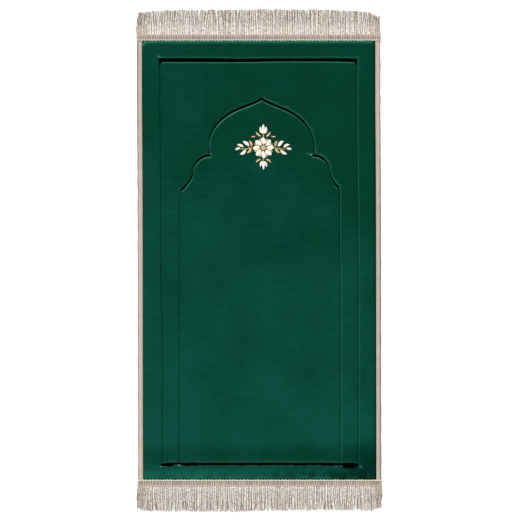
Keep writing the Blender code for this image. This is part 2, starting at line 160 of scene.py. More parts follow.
CORNER_FADE = 0.016  # over this length below the top corners a lengthwise channel narrows
CORNER_HALF = 0.0022

# The niche's head, measured out from its middle and down from its apex.
APEX = (0.0085, 0.4140)
ARCH_X = 0.0065
LOBE_HALF = 0.1352
LOBE_SPRING = 0.1270
LOBE_RISE = 0.1110
KEEL_HALF = 0.0610
KEEL_TIP = (0.0100, 0.0085)
KEEL_HANDLE = 0.0380
CUSP = (0.1315, 0.1450)
WAIST = (0.1750, 0.1900)
FLARE_START = (0.0010, 0.0140)
FLARE_END = (0.0110, 0.0100)
SHOULDERS = {-1: ("niche_left", 0.2370), 1: ("niche_right", 0.2290)}
KEEL_POINTS, LOBE_POINTS, EAR_POINTS, FLARE_POINTS = 24, 50, 24, 20

CREASE_STOPS = 0.004  # how far from the pad's edges the creases fade

# Where the cloth creases of itself: each crease's middle, the way it runs, its length and width,
# how deep it is, and how strong the painted highlight is where its pile splays open. Those with no
# depth are painted highlights alone.
Crease = namedtuple("Crease", "x y degrees length width depth bright")
CREASES = (
    Crease(0.1310, 0.2712, -6, 0.0140, 0.0022, 0.0034, 0.0),  # in from the right cusp
    Crease(0.1375, 0.2672, -10, 0.0090, 0.0014, 0.0, 0.85),
    Crease(-0.1290, 0.2652, 33, 0.0095, 0.0013, 0.0, 0.80),  # and from the left one
    Crease(-0.1248, 0.2672, 15, 0.0036, 0.0015, 0.0, 0.75),
    Crease(-0.2050, -0.5205, 0, 0.0045, 0.0018, 0.0, 0.62),  # where the niche's runs meet the foot
    Crease(0.2078, -0.5218, 0, 0.0034, 0.0017, 0.0, 0.45),
    Crease(0.2600, -0.5280, -40, 0.0130, 0.0022, 0.0024, 0.0),  # out of the right foot corner
    Crease(0.2575, -0.5256, -38, 0.0060, 0.0012, 0.0, 0.32),
    Crease(0.2660, -0.5232, -34, 0.0110, 0.0022, 0.0014, 0.0),
    Crease(0.2750, -0.5430, -55, 0.0120, 0.0030, 0.0012, 0.0),
    Crease(0.1780, -0.5010, 33, 0.0260, 0.0042, 0.0013, 0.0),  # above the foot line, on the right
    Crease(0.1900, -0.4960, 42, 0.0180, 0.0036, 0.0010, 0.0),
    Crease(-0.2505, -0.5244, 20, 0.0034, 0.0016, 0.0, 0.38),  # out of the left foot corner
    Crease(-0.2540, -0.5285, 60, 0.0120, 0.0024, 0.0014, 0.0),
    Crease(-0.2520, -0.5430, 95, 0.0110, 0.0024, 0.0014, 0.0),
    Crease(-0.2430, -0.5460, 80, 0.0100, 0.0024, 0.0014, 0.0),
    Crease(-0.2340, -0.5480, 100, 0.0090, 0.0022, 0.0012, 0.0),
    Crease(-0.2530, 0.5172, 150, 0.0060, 0.0026, 0.0008, 0.14),  # out of the top corners
    Crease(0.2520, 0.5180, 40, 0.0090, 0.0026, 0.0004, 0.0),
    Crease(-0.2935, 0.5500, 45, 0.0080, 0.0040, 0.0, 0.12),  # in the top left corner
    Crease(0.1640, 0.3420, 28, 0.0280, 0.0060, 0.0005, 0.0),  # on the panel right of the arch
    Crease(0.1820, 0.3060, 8, 0.0240, 0.0050, 0.0005, 0.0),
    Crease(0.1700, 0.2900, -12, 0.0200, 0.0050, 0.0004, 0.0),
    Crease(-0.2270, 0.1270, 35, 0.0160, 0.0045, 0.0007, 0.0),  # on the left strip
    Crease(-0.2300, -0.1900, -30, 0.0170, 0.0045, 0.0006, 0.0),
    Crease(0.2270, -0.3700, 30, 0.0180, 0.0045, 0.0006, 0.0),
)


def table_value(table, key, name, at):
    """A column's value at a place along the table's key column."""
    keys = np.array([getattr(row, key) for row in table])
    values = np.array([getattr(row, name) for row in table])
    order = np.argsort(keys)
    return np.interp(at, keys[order], values[order])


def bowed(points):
    """Points moved to where the rug's slight bow takes them."""
    points = np.array(points, float)
    points[..., 0] += table_value(BOWS, "y", "shift", points[..., 1])
    return points


# A sewn line is rows of x, y, half the pressed width, how much it opens below, and how dark its
# painted shade is where it runs lengthwise. It has closer points near its ends and its sharp turns.
STITCH_STEP = 0.003
CLOSER = 3
NEAR_TURN = 0.014
SHARP_TURN = 0.88  # the cosine of the least sharp of them
RUN_POINTS = 120
STITCH_POINTS = 24  # from one row of a crosswise line's table to the next


def sharp_turns(line):
    """The ends of a sewn line, and where it turns sharply."""
    ahead = np.diff(line[:, :2], axis=0)
    ahead /= np.hypot(*ahead.T)[:, None]
    turned = (ahead[1:] * ahead[:-1]).sum(axis=1) < SHARP_TURN
    return np.array([line[0, :2], line[-1, :2], *line[1:-1, :2][turned]])


def even_steps(line):
    """A sewn line put through evenly spaced points, closer near its ends and turns."""
    line = np.array(line, float)
    joined, turns = [line[:1]], sharp_turns(line)
    for start, end in zip(line[:-1], line[1:]):
        near = np.hypot(*(turns - (start + end)[:2] / 2).T).min() < NEAR_TURN
        length = math.hypot(*(end - start)[:2])
        steps = max(1, round(length / STITCH_STEP * (CLOSER if near else 1)))
        share = np.linspace(0, 1, steps + 1)[1:, None]
        joined.append(start + share * (end - start))
    return np.concatenate(joined)


def sewn_across(table, opens):
    """A crosswise line through its table's rows, easing from each row to the next."""
    joined = []
    for row, following in zip(table[:-1], table[1:]):
        share = np.linspace(0, 1, STITCH_POINTS, endpoint=False)
        eased = share * share * (3 - 2 * share)
        x = row.x + share * (following.x - row.x)
        y = row.y + eased * (following.y - row.y)
        joined.append(np.column_stack([x, y, row.half + eased * (following.half - row.half)]))
    line = np.concatenate([*joined, [table[-1]]])
    return np.column_stack([line, np.full(len(line), opens), np.ones(len(line))])


def sewn_along(name, low, high, gape=0.0):
    """A lengthwise line from low to high. It may gape at its top end, and narrow away from it."""
    y = np.linspace(low, high, RUN_POINTS)
    near = gape * np.exp((y - high) / CORNER_FADE)
    half = RUN_HALF + CORNER_HALF * near
    dark = RUN_DARKNESS + (1 - RUN_DARKNESS) * np.clip(1.6 * near, 0, 1)
    return np.column_stack([table_value(RUNS, "y", name, y), y, half, np.zeros_like(y), dark])


def cubic(a, b, c, d, count):
    """Points along a cubic curve, without its first one."""
    t = np.linspace(0, 1, count + 1)[1:, None]
    a, b, c, d = (np.array(handle) for handle in (a, b, c, d))
    return (1 - t) ** 3 * a + 3 * t * (1 - t) ** 2 * b + 3 * t * t * (1 - t) * c + t**3 * d


def half_head(side):
    """Half of the niche's head, from the apex down to the straight run. side is -1 or 1."""

    def place(out, down, middle=ARCH_X):
        """A point out from the arch's middle and down from its apex."""
        return np.array([middle + side * out, APEX[1] - down])

    def turn(centre_out, spring, wide, tall, start, count):
        """An elliptical turn from an angle down to level, without its first point."""
        angles = np.linspace(start, 0, count)[1:]
        return [place(centre_out + wide * math.cos(a), spring - tall * math.sin(a)) for a in angles]

    join = math.acos(KEEL_HALF / LOBE_HALF)
    join_down = LOBE_SPRING - LOBE_RISE * math.sin(join)
    slope = LOBE_RISE * math.cos(join) / (LOBE_HALF * math.sin(join))
    name, shoulder = SHOULDERS[side]
    foot = float(table_value(RUNS, "y", name, APEX[1] - shoulder))
    keel = (
        APEX,
        place(*KEEL_TIP, middle=APEX[0]),
        place(KEEL_HALF - KEEL_HANDLE, join_down - slope * KEEL_HANDLE),
        place(KEEL_HALF, join_down),
    )
    flare = (
        place(*WAIST),
        place(WAIST[0] + FLARE_START[0], WAIST[1] + FLARE_START[1]),
        (foot - side * FLARE_END[0], APEX[1] - shoulder + FLARE_END[1]),
        (foot, APEX[1] - shoulder),
    )
    wide, tall = WAIST[0] - CUSP[0], WAIST[1] - CUSP[1]
    lobe = turn(0, LOBE_SPRING, LOBE_HALF, LOBE_RISE, join, LOBE_POINTS)
    ear = turn(CUSP[0], WAIST[1], wide, tall, math.pi / 2, EAR_POINTS)
    keel, flare = cubic(*keel, KEEL_POINTS), cubic(*flare, FLARE_POINTS)
    head = np.array([APEX, *keel, *lobe, place(*CUSP), *ear, *flare])
    same = np.ones(len(head))
    return np.column_stack([head, ARCH_HALF * same, ARCH_OPENS * same, RUN_DARKNESS * same])


def niche_line():
    """The niche, up from its foot on the left, over the arch and down again on the right."""
    halves = []
    for side, (name, shoulder) in SHOULDERS.items():
        foot_x = table_value(RUNS, "y", name, FOOT_LINE[0].y)
        foot_y = float(table_value(FOOT_LINE, "x", "y", foot_x))
        run = sewn_along(name, foot_y, APEX[1] - shoulder)
        halves.append(np.concatenate([run[:-1], half_head(side)[::-1]]))
    return np.concatenate([halves[0], halves[1][::-1][1:]])


foot, top = sewn_across(FOOT_LINE, FOOT_OPENS), sewn_across(TOP_LINE, TOP_OPENS)
SEWN = [
    even_steps(line)
    for line in (
        niche_line(),
        foot,
        top,
        sewn_along("outer_left", foot[0, 1], top[0, 1], gape=1.0),
        sewn_along("outer_right", foot[-1, 1], top[-1, 1], gape=0.85),
    )
]


def follow(line, points):
    """Each point's place beside a sewn line: how far past its pressed width, how far along it, how
    much above it (1) or below it (-1) rather than beside it, and how dark its painted shade is
    there."""
    spots = line[:, :2]
    walked = np.concatenate([[0], np.cumsum(np.hypot(*np.diff(spots, axis=0).T))])
    squared = (spots**2).sum(axis=1)
    handfuls = np.array_split(points, len(points) // 5000 + 1)
    closest = np.concatenate([(squared - 2 * few @ spots.T).argmin(axis=1) for few in handfuls])
    nearest = np.full(len(points), np.inf)
    off, along, facing, dark = (np.zeros(len(points)) for _ in range(4))
    for step in (-1, 0):
        at = np.clip(closest + step, 0, len(line) - 2)
        start, end = line[at], line[at + 1]
        run = end[:, :2] - start[:, :2]
        length = np.hypot(*run.T)
        share = np.clip(((points - start[:, :2]) * run).sum(axis=1) / length**2, 0, 1)
        gap = points - start[:, :2] - share[:, None] * run
        distance = np.hypot(*gap.T)
        level = np.abs(run[:, 0]) / length
        above = np.where(distance > 1e-5, gap[:, 1] / np.maximum(distance, 1e-9), level)
        _, _, half, opens, shade = (start + share[:, None] * (end - start)).T
        nearer = distance < nearest
        nearest = np.where(nearer, distance, nearest)
        off = np.where(nearer, distance - half - opens * np.clip(-above, 0, 1), off)
        along = np.where(nearer, walked[at] + share * length, along)
        facing = np.where(nearer, above, facing)
        dark = np.where(nearer, shade, dark)
    return off, along, facing, dark


def swell(place, lengths, seed):
    """A smooth random rise and fall, about -1 to 1, of the given wavelengths, at places along a
    line (n) or on the rug (n x 2)."""
    draw = np.random.default_rng(seed)
    place = np.atleast_2d(np.asarray(place, float).T).T
    total = np.zeros(len(place))
    for length in lengths:
        for _ in range(5):
            turn, start = draw.uniform(0, 2 * math.pi, 2)
            way = np.array([math.cos(turn), math.sin(turn)])[: place.shape[1]]
            way = way / np.linalg.norm(way) * draw.uniform(0.8, 1.25)
            total += np.sin(place @ way * 2 * math.pi / length + start)
    return total / (2.2 * math.sqrt(len(lengths)))


def rounded(distance, reach, fullness):
    """Share of the full height at a distance from where the cloth is held down."""
    share = np.clip(distance / reach, 0, 1)
    return (1 - (1 - share) ** fullness) ** (1 / fullness)


def creased(points):
    """How far the creases take the cloth down, each a trough between two faint ridges, and the
    painted highlight where they splay its pile."""
    total, splay_highlight = np.zeros(len(points)), np.zeros(len(points))
    for crease in CREASES:
        turn = math.radians(crease.degrees)
        way = np.array([math.cos(turn), math.sin(turn)])
        offset = points - (crease.x, crease.y)
        along = (offset @ way) / crease.length
        across = (offset @ (-way[1], way[0])) / crease.width
        near = np.exp(-2 * along**2 - across**2)
        total += crease.depth * near * (1 - across**2)
        splay_highlight = np.maximum(splay_highlight, crease.bright * near)
    return total, splay_highlight


def lip_value(name, facing):
    """A lip's value, by how much it lies above, below or beside its channel."""
    above, below = np.clip(facing, 0, 1) ** 2, np.clip(-facing, 0, 1) ** 2
    beside = 1 - above - below
    values = (getattr(lip, name) for lip in (LIP_ABOVE, LIP_BELOW, LIP_BESIDE))
    return sum(share * value for share, value in zip((above, below, beside), values))


def round_corner(first, second, radius):
    """The distance to two edges that meet, with their corner rounded."""
    inside = (first < radius) & (second < radius) & (first > 0) & (second > 0)
    rounder = radius - np.hypot(radius - first, radius - second)
    return np.where(inside, rounder, np.minimum(first, second))


def panel_corner(outer, side):
    """The middle of the arc that rounds one of the field's top corners."""
    middle = outer[-1, :2] - (side * 0.012, 0.016)
    for _ in range(6):
        below, _, _, _ = follow(SEWN[2], middle[None])
        beside, _, _, _ = follow(outer, middle[None])
        middle = middle - (side * (PANEL_CORNER - beside[0]), PANEL_CORNER - below[0])
    return middle


PANEL_CORNERS = [(panel_corner(SEWN[3], -1), -1), (panel_corner(SEWN[4], 1), 1)]


def pad_face(points):
    """Height of the velvet over the floor, and its painted shade where its pile is pinched in a
    channel
    (1) or its painted highlight where the pile splays on a sharp fold (-1)."""
    points = np.asarray(points, float)
    followed = [follow(line, points) for line in SEWN]
    top_off, top_along, _, _ = followed[2]
    for (middle, side), (run_off, _, _, dark) in zip(PANEL_CORNERS, followed[3:5]):
        out = (points - middle) * (side, 1)
        radius = np.hypot(*out.T)
        square = ((out > 0) & (out < PANEL_CORNER)).all(axis=1)
        run_off[square] = top_off[square] = np.inf
        inside = (out > 0).all(axis=1) & (radius < 1.4 * PANEL_CORNER)
        turned = np.where(inside, PANEL_CORNER - radius, np.inf)
        followed.append((turned, top_along, -out[:, 1] / radius, dark))
    from_line = np.minimum.reduce([off for off, _, _, _ in followed])
    from_side = SIDE_EDGE - np.abs(points[:, 0])
    from_end = END_EDGE - np.abs(points[:, 1])
    nearest = np.clip(np.minimum.reduce([from_line, from_side, from_end]), 0, None)
    full = PANEL_HEIGHT + CROWN * (1 - np.exp(-nearest / CROWN_REACH))
    full += UNEVEN * swell(points, (0.16, 0.09), 3) * np.clip(nearest / UNEVEN_REACH, 0, 1)
    full += LUMPS * swell(points, (0.034, 0.022), 4)

    # Each edge and each sewn line takes the cloth down from there, and where two do, they blend.
    end_shoulder = np.where(points[:, 1] > 0, TOP_SHOULDER, FOOT_SHOULDER)
    drops = [
        (full - low) * (1 - rounded(distance, shoulder, SHOULDER_FULLNESS))
        for distance, shoulder, low in (
            (round_corner(from_side, from_end, PAD_CORNER), SIDE_SHOULDER, BINDING_TOP),
            (from_side, SIDE_SHOULDER, SIDE_FLANGE_TOP),
            (from_end, end_shoulder, BINDING_TOP),
        )
    ]
    pinched = np.zeros(len(points))
    for seed, (off, along, facing, dark) in enumerate(followed):
        across = np.clip(1.5 * np.abs(facing), 0, 1)
        waver = 1 + LIP_WAVER * swell(along, (0.090, 0.041), 40 + seed)
        reach = lip_value("reach", facing) * waver
        pull = (full - CHANNEL_FLOOR) * (1 - rounded(off, reach, lip_value("fullness", facing)))
        pull *= across + (1 - across) * (RUN_DEPTH + (1 - RUN_DEPTH) * dark)
        gather = GATHER * swell(along, (0.034, 0.019), 20 + seed)
        pull += gather * np.exp(-(((off - GATHER_OUT) / GATHER_WIDTH) ** 2)) * (off > 0)
        drops.append(np.clip(pull, 0, None))
        # The pile pinched in the channel, with painted shade that is darkest where the channel runs
        # across.
        near = np.clip(1 - off / lip_value("pinched", facing), 0, 1)
        near = near * near * (3 - 2 * near)
        pinched = np.maximum(pinched, near * (across + (1 - across) * dark))
    height = full - (np.array(drops) ** 3).sum(axis=0) ** (1 / 3)

    depth, splay_highlight = creased(points)
    height -= depth * np.clip(np.minimum(from_side, from_end) / CREASE_STOPS, 0, 1)
    # A painted highlight on the lip below the arch and below the foot, where the pile splays.
    for highlight, (off, along, facing, _) in zip(LIP_HIGHLIGHTS, followed):
        edge = np.exp(-(((off - SPLAY_OUT) / SPLAY_WIDTH) ** 2)) * np.clip(-facing, 0, 1) ** 2
        edge *= (0.7 + 0.3 * swell(along, (0.05, 0.02), 70)) * (points[:, 0] < SPLAY_END)
        splay_highlight = np.maximum(splay_highlight, highlight * edge)
    splay_highlight *= 1 - pinched
    lowest = np.where(from_end <= 0.0001, BINDING_TOP, CHANNEL_FLOOR)
    lowest = np.where(from_side <= 0.0001, SIDE_FLANGE_TOP, lowest)
    return np.maximum(height, lowest), pinched * (1 - splay_highlight) - splay_highlight


def beside(line, side, reach):
    """A copy of a sewn line to one side of it, a reach past its pressed width, without what lies
    nearer than that."""
    ahead = np.diff(line[:, :2], axis=0)
    ahead /= np.hypot(*ahead.T)[:, None]
    after = np.concatenate([ahead, ahead[-1:]])
    along = np.concatenate([ahead[:1], ahead]) + after
    along /= np.hypot(*along.T)[:, None]
    mitre = np.clip((along * after).sum(axis=1), 0.4, 1.0)
    out = side * np.column_stack([-along[:, 1], along[:, 0]])
    pressed = line[:, 2] + line[:, 3] * np.clip(-out[:, 1], 0, 1)
    moved = line[:, :2] + out * ((reach + pressed) / mitre)[:, None]
    bare = line * (1, 1, 0, 0, 1)
    return moved[follow(bare, moved)[0] > 0.92 * (reach + pressed) - 0.0001]


def round_turns(line, reach):
    """Points round a sewn line's ends and sharp turns, a reach past its pressed width."""
    angle = np.linspace(0, 2 * math.pi, 28, endpoint=False)
    way = np.column_stack([np.cos(angle), np.sin(angle)])
    rings = []
    for turn in sharp_turns(line):
        _, _, half, opens, _ = line[np.hypot(*(line[:, :2] - turn).T).argmin()]
        radius = half + opens * np.clip(-way[:, 1], 0, 1) + reach
        rings.append(turn + radius[:, None] * way)
    ring = np.concatenate(rings)
    return ring[np.abs(follow(line, ring)[0] - reach) < 0.0002]


# Where the pad's face has its vertices: in rows beside the sewn lines and the edges, on a grid of
# its own for each crease, and on a wide grid in the panels.
LIP_STEPS = (0.0, 0.0005, 0.0011, 0.0018, 0.0026, 0.0037, 0.0051, 0.0071, 0.0100)
SHOULDER_STEPS = (0.0, 0.0004, 0.0011, 0.0022, 0.0038, 0.0060, 0.0090, 0.0135, 0.0195)
SIDE_POINTS, END_POINTS = 280, 150  # along each edge
PANEL_GRID = 0.0052
CORNER_POINTS = 15  # along an arc at the field's top corners
CREASE_ALONG, CREASE_ACROSS = np.linspace(-1.6, 1.6, 15), np.linspace(-2.2, 2.2, 13)
TROUGH_CLEAR, GLINT_CLEAR = 0.0065, 0.0008  # how far a crease's grid keeps from the sewn lines
LEAST_STEP = 0.00025


def from_sewn(points, lines=SEWN):
    """How far points are past the pressed width of the nearest sewn line."""
    return np.minimum.reduce([follow(line, points)[0] for line in lines])


def pad_points():
    """The places of the vertices of the pad's face."""
    rows = []
    for line in SEWN:
        others = [other for other in SEWN if other is not line]
        for step in LIP_STEPS:
            sides = [beside(line, out, step) for out in (-1, 1)]
            row = np.concatenate([*sides, round_turns(line, step)])
            rows.append(row[from_sewn(row, others) > step - 0.0003])
    for middle, side in PANEL_CORNERS:
        out = [(row - middle) * (side, 1) for row in rows]
        cut = [((o > -0.0002) & (o < PANEL_CORNER + 0.0001)).all(axis=1) for o in out]
        rows = [row[~inside] for row, inside in zip(rows, cut)]
        angle = np.linspace(0, math.pi / 2, CORNER_POINTS)
        arc = np.column_stack([side * np.cos(angle), np.sin(angle)])
        rows += [middle + (PANEL_CORNER - step) * arc for step in LIP_STEPS[:-1]]
    rows += [line[:, :2] for line in SEWN]
    along_x = np.linspace(-SIDE_EDGE, SIDE_EDGE, END_POINTS)
    along_y = np.linspace(-END_EDGE, END_EDGE, SIDE_POINTS)
    for step in SHOULDER_STEPS:
        for side in (-1, 1):
            beside_binding = np.full(SIDE_POINTS, side * (SIDE_EDGE - step))
            beside_braid = np.full(END_POINTS, side * (END_EDGE - step))
            rows.append(np.column_stack([beside_binding, along_y]))
            rows.append(np.column_stack([along_x, beside_braid]))
    x, y = np.meshgrid(
        np.arange(-SIDE_EDGE, SIDE_EDGE, PANEL_GRID), np.arange(-END_EDGE, END_EDGE, PANEL_GRID)
    )
    x[::2] += PANEL_GRID / 2
    panel = np.column_stack([x.ravel(), y.ravel()])
    clear = from_sewn(panel) > LIP_STEPS[-1] + PANEL_GRID / 2
    clear &= np.abs(panel[:, 0]) < SIDE_EDGE - SHOULDER_STEPS[-1] - PANEL_GRID / 2
    clear &= np.abs(panel[:, 1]) < END_EDGE - SHOULDER_STEPS[-1] - PANEL_GRID / 2
    for crease in CREASES:
        turn = math.radians(crease.degrees)
        u, v = np.meshgrid(CREASE_ALONG, CREASE_ACROSS)
        u, v = u.ravel() * crease.length, v.ravel() * crease.width
        x = crease.x + u * math.cos(turn) - v * math.sin(turn)
        y = crease.y + u * math.sin(turn) + v * math.cos(turn)
        near = np.column_stack([x, y])
        rows.append(near[from_sewn(near) > (TROUGH_CLEAR if crease.depth else GLINT_CLEAR)])
    points = np.concatenate([*rows, panel[clear]])
    points = points[(np.abs(points[:, 0]) <= SIDE_EDGE) & (np.abs(points[:, 1]) <= END_EDGE)]
    _, kept = np.unique(np.round(points / LEAST_STEP), axis=0, return_index=True)
    return points[np.sort(kept)]


def rectangle(half_x, half_y, step):
    """Points round a rectangle, counter-clockwise."""
    x = np.linspace(-half_x, half_x, round(2 * half_x / step) + 1)
    y = np.linspace(-half_y, half_y, round(2 * half_y / step) + 1)
    sides = (
        [(value, -half_y) for value in x[:-1]],
        [(half_x, value) for value in y[:-1]],
        [(value, half_y) for value in x[:0:-1]],
        [(-half_x, value) for value in y[:0:-1]],
    )
    return [point for side in sides for point in side]


def pad_mesh():
    """The pad: its velvet face, its thin rim inside the trims, and its plain underside."""
    edge = rectangle(PAD_HALF_WIDTH, PAD_HALF_LENGTH, 0.005)
    points = edge + [tuple(point) for point in pad_points()]
    loop = [(i, (i + 1) % len(edge)) for i in range(len(edge))]
    flat, _, faces, _, _, _ = delaunay_2d_cdt(points, loop, [], 1, 0.00002)
    flat = np.array([tuple(point) for point in flat])
    bm = bmesh.new()
    # Each vertex keeps its painted shade where the pile is pinched (above 0) or its painted
    # highlight where it splays (below 0).
    layer = bm.verts.layers.float.new("pinched")
    verts = []
    for xy, z, pinched in zip(flat, *pad_face(flat)):
        verts.append(bm.verts.new((*xy, z)))
        verts[-1][layer] = pinched
    for face in faces:
        bm.faces.new([verts[i] for i in face])
    rim = verts[: len(edge)]
    cover = PAD_HALF_WIDTH - SIDE_EDGE
    for inset, z in ((0, FLANGE_UNDERSIDE), (cover, FLANGE_UNDERSIDE), (cover + UNDERCUT, 0)):
        below = []
        for vert in rim:
            x = math.copysign(min(abs(vert.co.x), PAD_HALF_WIDTH - inset), vert.co.x)
            y = math.copysign(min(abs(vert.co.y), PAD_HALF_LENGTH - inset), vert.co.y)
            below.append(bm.verts.new((x, y, z)))
            below[-1][layer] = vert[layer]
        for i in range(len(rim)):
            bm.faces.new((rim[i], rim[i - 1], below[i - 1], below[i]))
        rim = below
    bm.faces.new(rim[::-1])
    bmesh.ops.remove_doubles(bm, verts=bm.verts, dist=0.00001)
    bmesh.ops.recalc_face_normals(bm, faces=bm.faces)
    for vert in bm.verts:
        vert.co = bowed(vert.co)
    mesh = bpy.data.meshes.new("pad")
    bm.to_mesh(mesh)
    bm.free()
    return mesh


def linear(hex_colour):
    """An sRGB hex colour as linear red, green and blue, with a full alpha."""
    shares = [int(hex_colour[i : i + 2], 16) / 255 for i in (1, 3, 5)]
    light = [s / 12.92 if s <= 0.04045 else ((s + 0.055) / 1.055) ** 2.4 for s in shares]
    return (*light, 1.0)


def add_node(tree, kind, inputs, output=0, **settings):
    """An output of a new shader node. The node has its own settings, and its sockets are set to
    values or linked to other outputs."""
    node = tree.nodes.new("ShaderNode" + kind)
    for name, value in settings.items():
        setattr(node, name, value)
    for name, value in inputs.items():
        if isinstance(value, bpy.types.NodeSocket):
            tree.links.new(value, node.inputs[name])
        else:
            node.inputs[name].default_value = value
    return node.outputs[output]


def start_finish(name, sockets):
    """A new material: itself, its node tree and its shader, with the shader's own sockets set."""
    material = bpy.data.materials.new(name)
    material.use_nodes = True
    shader = material.node_tree.nodes["Principled BSDF"]
    for socket, value in sockets.items():
        shader.inputs[socket].default_value = value
    return material, material.node_tree, shader


def velvet_finish():
    """Polyester velvet: a dense cut pile that drinks the light head on, with a painted sheen where
    it curves away. It lies towards the foot, and painted shade draws black lines where the stitches
    pinch it."""
    material, tree, shader = start_finish(
        "short pile velvet",
        {
            "Roughness": 0.95,
            "Specular IOR Level": 0.0,
            "Sheen Weight": 0.08,
            "Sheen Roughness": 0.30,
            "Sheen Tint": linear("#7fd0b4"),
        },
    )
    place = add_node(tree, "TexCoord", {}, "Object")
    x, y, _ = add_node(tree, "SeparateXYZ", {0: place}).node.outputs
    patch = add_node(tree, "TexNoise", {"Vector": place, "Scale": 1 / 0.16, "Detail": 3.0})
    streaks = add_node(tree, "Mapping", {"Vector": place, "Scale": (0.35, 1.0, 1.0)})
    streak = add_node(tree, "TexNoise", {"Vector": streaks, "Scale": 1 / 0.012, "Detail": 4.0})
    # The pile's own tufts are about 0.3 mm apart. They are drawn at 1.6 mm, to show at all.
    tuft = add_node(tree, "TexNoise", {"Vector": place, "Scale": 1 / 0.0016, "Detail": 2.0})
    # The pile pales towards the foot and to the left. A painted shadow darkens it on both sides of
    # the foot line.
    down = add_node(tree, "MapRange", {0: y, 1: 0.40, 2: -0.50, 3: 0.0, 4: 1.0})
    left = add_node(tree, "Math", {0: x, 1: -0.7, 2: down}, operation="MULTIPLY_ADD")
    from_foot = add_node(tree, "Math", {0: y, 1: 0.500})
    apart = add_node(tree, "Math", {0: from_foot}, operation="ABSOLUTE")
    shadow = add_node(
        tree,
        "MapRange",
        {0: apart, 1: 0.005, 2: 0.046, 3: -0.78, 4: 0.0},
        interpolation_type="SMOOTHSTEP",
    )
    tone_and_shade = add_node(tree, "Math", {0: left, 1: shadow})
    for source, swing in ((patch, 0.45), (streak, 0.20), (tuft, 0.26)):
        part = add_node(tree, "MapRange", {0: source, 1: 0.25, 2: 0.75, 3: -swing, 4: swing})
        tone_and_shade = add_node(tree, "Math", {0: tone_and_shade, 1: part})
    # Painted sheen and shade by slope: slopes towards the arch or the foot are painted pale alike.
    # To the right of the rug, those that face left are painted pale and those that face right
    # painted darker. At the foot a slope that faces the arch is painted darker too.
    normal = add_node(tree, "NewGeometry", {}, "Normal")
    face_x, face_y, _ = add_node(tree, "SeparateXYZ", {0: normal}).node.outputs
    right = add_node(tree, "MapRange", {0: x, 1: -0.24, 2: -0.02, 3: -0.05, 4: -0.36})
    sideways = add_node(tree, "Math", {0: face_x, 1: right}, operation="MULTIPLY")
    footward = add_node(tree, "Math", {0: face_y, 1: -0.55}, operation="MULTIPLY")
    facing = add_node(tree, "MapRange", {0: y, 1: -0.50, 2: -0.30, 3: -0.90, 4: 0.55})
    archward = add_node(tree, "Math", {0: face_y, 1: facing}, operation="MULTIPLY")
    to_arch = add_node(tree, "Math", {0: face_y, 1: 0.0}, operation="GREATER_THAN")
    lengthwise = add_node(tree, "Mix", {0: to_arch, 2: footward, 3: archward})
    sheen = add_node(tree, "Math", {0: lengthwise, 1: sideways})
    # Painted sheen where a slope is pale, and painted shade where it is dark.
    pale = add_node(tree, "MapRange", {0: sheen, 1: 0.04, 2: 0.60, 3: 0.0, 4: 0.55})
    painted_shade = add_node(tree, "MapRange", {0: sheen, 1: -0.05, 2: -0.40, 3: 0.0, 4: 0.70})
    # The pile is darker in the corner at the foot on the right.
    corner = add_node(
        tree, "VectorMath", {0: place, 1: (0.292, -0.548, 0.012)}, "Value", operation="DISTANCE"
    )
    darker_corner = add_node(tree, "MapRange", {0: corner, 1: 0.105, 2: 0.030, 3: 0.0, 4: 0.66})
    # Below the foot line a highlight is painted on the left of the border, and the pile is darker
    # in small blotches on the right.
    below = add_node(tree, "MapRange", {0: y, 1: -0.528, 2: -0.545, 3: 0.0, 4: 1.0})
    leftward = add_node(tree, "MapRange", {0: x, 1: 0.06, 2: -0.12, 3: 0.0, 4: 0.38})
    painted_foot_highlight = add_node(tree, "Math", {0: below, 1: leftward}, operation="MULTIPLY")
    blotch_noise = add_node(tree, "TexNoise", {"Vector": place, "Scale": 1 / 0.021, "Detail": 3.0})
    blotch = add_node(tree, "MapRange", {0: blotch_noise, 1: 0.44, 2: 0.58, 3: 0.0, 4: 0.80})
    rightward = add_node(tree, "MapRange", {0: x, 1: 0.02, 2: 0.20, 3: 0.34, 4: 1.0})
    where = add_node(tree, "Math", {0: below, 1: rightward}, operation="MULTIPLY")
    blotched = add_node(tree, "Math", {0: where, 1: blotch}, operation="MULTIPLY")
    # Painted shade in the channels where the pile is pinched, and painted highlights below 0 where
    # it splays.
    pinched = add_node(tree, "Attribute", {}, "Fac", attribute_name="pinched")
    splay_highlight = add_node(tree, "MapRange", {0: pinched, 1: 0.0, 2: -1.0, 3: 0.0, 4: 1.0})
    # The colours laid on in turn: the pile's tone with its painted shadow by the foot line, painted
    # sheen and painted shade on slopes, the darker right foot corner, a painted highlight on the
    # left of the foot border, dark blotches, painted shade in the channels, and painted highlights
    # on splays.
    colour = linear("#043022")
    for share, shade in (
        (tone_and_shade, "#093d32"),
        (pale, "#32836c"),
        (painted_shade, "#00150d"),
        (darker_corner, "#001712"),
        (painted_foot_highlight, "#19614e"),
        (blotched, "#001f16"),
        (pinched, "#000604"),
        (splay_highlight, "#7cc4ad"),
    ):
        mix = {0: share, 6: colour, 7: linear(shade)}
        colour = add_node(tree, "Mix", mix, 2, data_type="RGBA")
    tree.links.new(colour, shader.inputs["Base Color"])
    bump = add_node(tree, "Bump", {"Height": tuft, "Strength": 0.35, "Distance": 0.0004})
    tree.links.new(bump, shader.inputs["Normal"])
    return material


def add_piece(name, mesh, finish, node):
    """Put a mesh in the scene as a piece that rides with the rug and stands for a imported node."""
    mesh.name = name
    piece = bpy.data.objects.new(name, mesh)
    bpy.context.scene.collection.objects.link(piece)
    mesh.materials.append(finish)
    mesh.shade_smooth()
    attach(piece, "root")
    if node:
        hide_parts(node)
    return piece


velvet_pad = add_piece("velvet_pad", pad_mesh(), velvet_finish(), "pad")
velvet_pad.data.set_sharp_from_angle(angle=math.radians(70))
for face in velvet_pad.data.polygons:
    face.use_smooth = face.normal.z > -0.5  # the underside is flat
